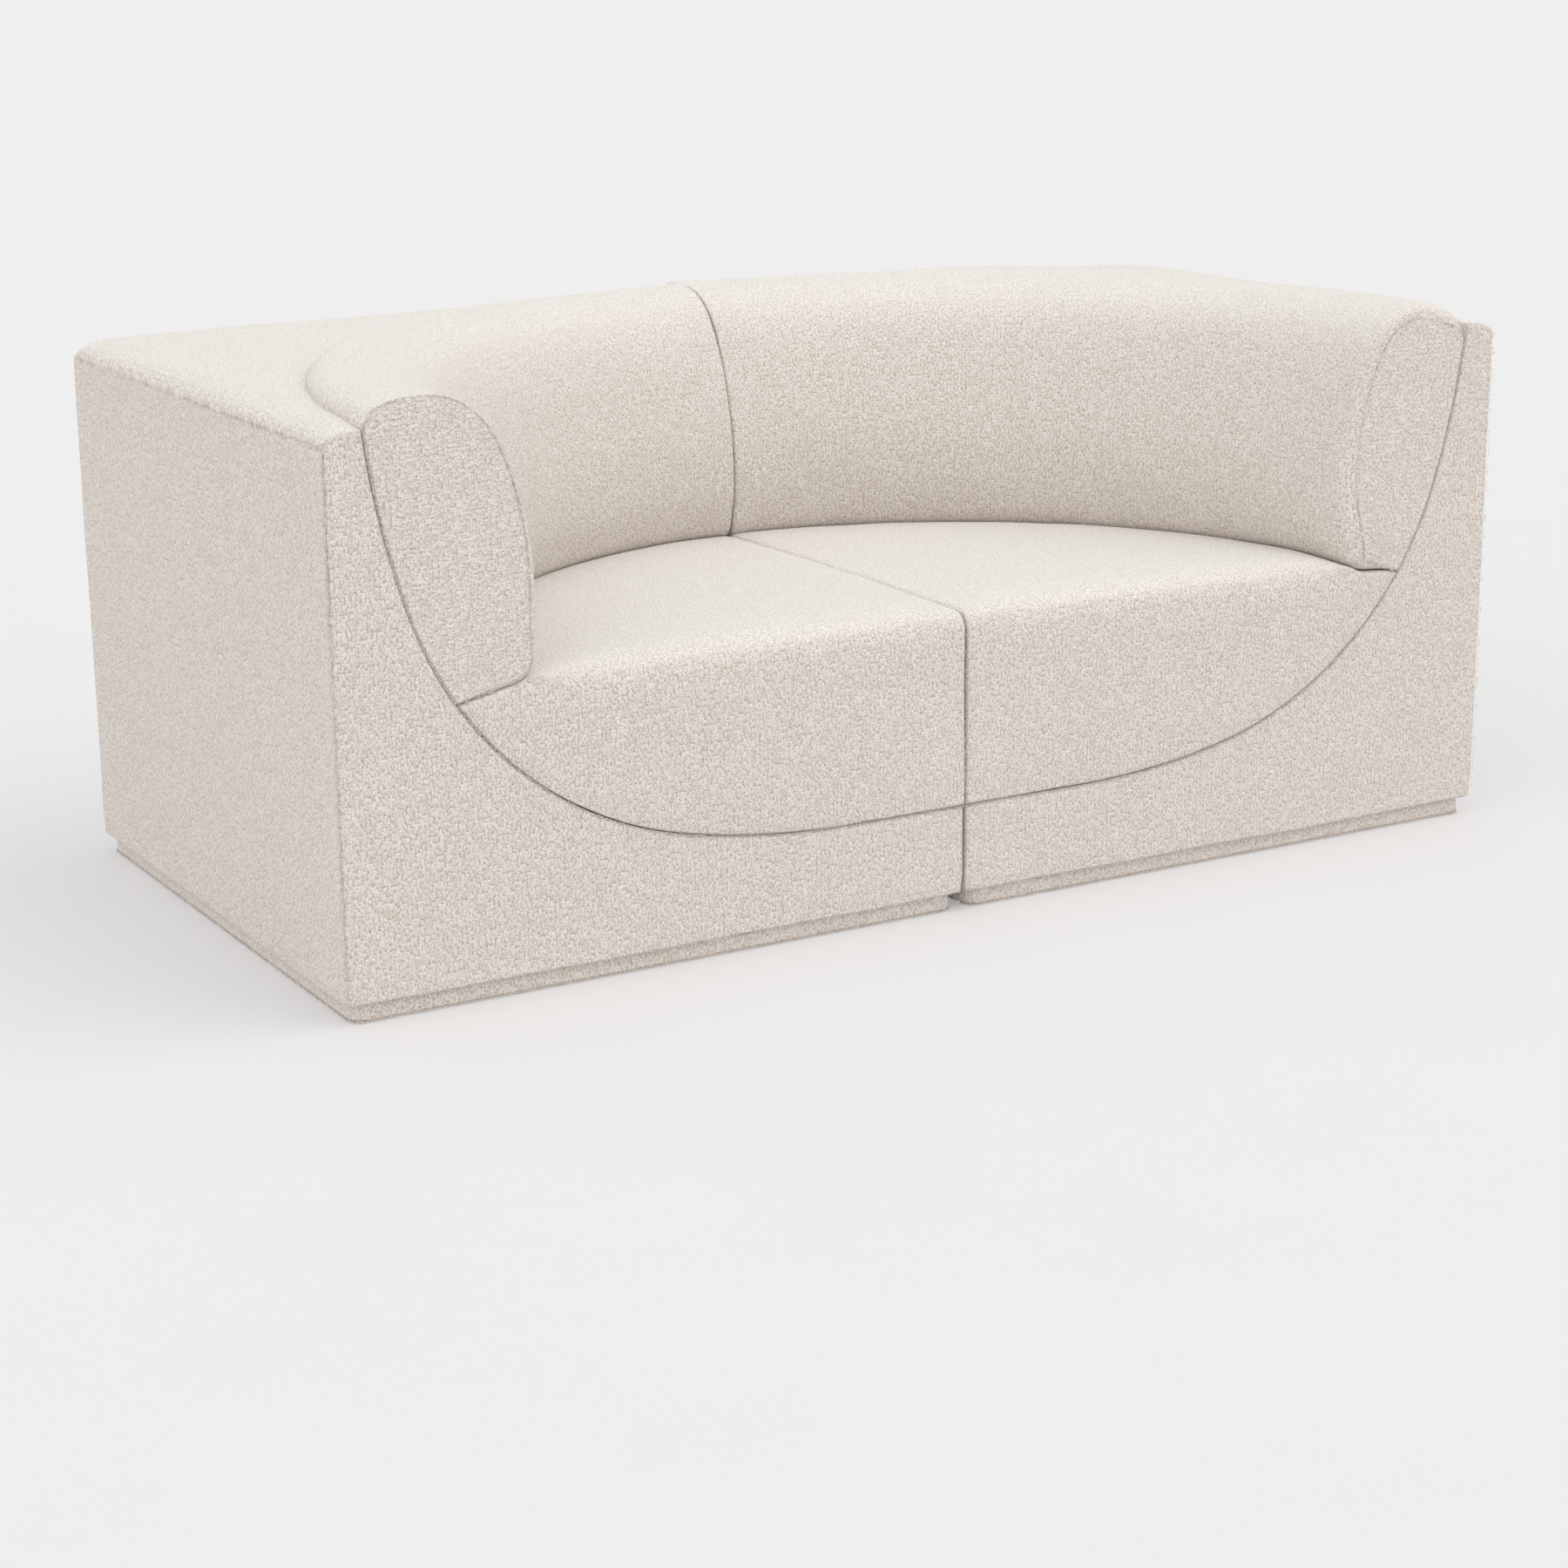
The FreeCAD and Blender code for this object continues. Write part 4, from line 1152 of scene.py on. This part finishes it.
def aim_camera():
    """Looks at the sofa from the front left, a little above it, through a long lens."""
    azimuth, elevation, roll = (math.radians(angle) for angle in CAMERA_ANGLES)
    flat = math.cos(elevation)
    back = Vector((math.sin(azimuth) * flat, -math.cos(azimuth) * flat, math.sin(elevation)))
    right = (-back).cross(Vector((0, 0, 1))).normalized()
    up = right.cross(-back)
    side = math.cos(roll) * right + math.sin(roll) * up
    over = -math.sin(roll) * right + math.cos(roll) * up
    data = bpy.data.cameras.new("camera")
    data.lens, data.sensor_width, data.clip_end = LENS, FILM, 2.5 * REACH
    obj = bpy.data.objects.new("camera", data)
    bpy.context.scene.collection.objects.link(obj)
    turn = Matrix((side, over, back)).transposed().to_4x4()
    obj.matrix_world = Matrix.Translation(CAMERA_AT) @ turn
    bpy.context.scene.camera = obj


aim_camera()
bpy.context.scene.view_settings.view_transform = "Standard"

SOFTNESS = math.radians(60)  # how wide each light is in the sky
SKY_STRENGTH = 0.74
LOW_SKY, HIGH_SKY = (1.0, 0.93, 0.85, 1), (0.95, 0.985, 1.0, 1)


def soft_sun(name, towards, energy, colour):
    data = bpy.data.lights.new(name, "SUN")
    data.energy, data.angle, data.color = energy, SOFTNESS, colour
    obj = bpy.data.objects.new(name, data)
    bpy.context.scene.collection.objects.link(obj)
    obj.rotation_euler = Vector(towards).to_track_quat("Z", "Y").to_euler()


soft_sun("overhead", (0, 0, 1), 0.42, (0.76, 0.93, 1.0))
soft_sun("key", (0.80, -0.55, 1), 1.0, (1.0, 0.955, 0.89))
soft_sun("fill", (-0.9, -0.30, 0.7), 0.68, (1.0, 0.96, 0.905))

floor_mesh = bpy.data.meshes.new("floor")
corners = [(-REACH, -REACH, 0), (REACH, -REACH, 0), (REACH, REACH, 0), (-REACH, REACH, 0)]
floor_mesh.from_pydata(corners, [], [(0, 1, 2, 3)])
floor = add_object("floor", floor_mesh)
plaster = Shader("studio_floor")
fine = plaster.noise(plaster.node("TexCoord").outputs["Object"], 3.0, 4.0)
floor_mesh.materials.append(
    plaster.finish(
        plaster.mix(fine, (0.510, 0.495, 0.500, 1), (0.520, 0.505, 0.510, 1)), 0.9,
        Specular_IOR_Level=0.1, Emission_Color=(1, 1, 1, 1), Emission_Strength=0.262,
    )
)

world = bpy.data.worlds.new("studio")
world.use_nodes = True
sky = world.node_tree.nodes
links = world.node_tree.links
split = sky.new("ShaderNodeSeparateXYZ")
links.new(sky.new("ShaderNodeTexCoord").outputs["Generated"], split.inputs[0])
blend = sky.new("ShaderNodeMapRange")
blend.inputs["From Min"].default_value, blend.inputs["From Max"].default_value = 0.1, 0.6
links.new(split.outputs[2], blend.inputs[0])
tone = sky.new("ShaderNodeMix")
tone.data_type = "RGBA"
tone.inputs[6].default_value, tone.inputs[7].default_value = LOW_SKY, HIGH_SKY
links.new(blend.outputs[0], tone.inputs[0])
links.new(tone.outputs[2], sky["Background"].inputs["Color"])
sky["Background"].inputs["Strength"].default_value = SKY_STRENGTH
bpy.context.scene.world = world
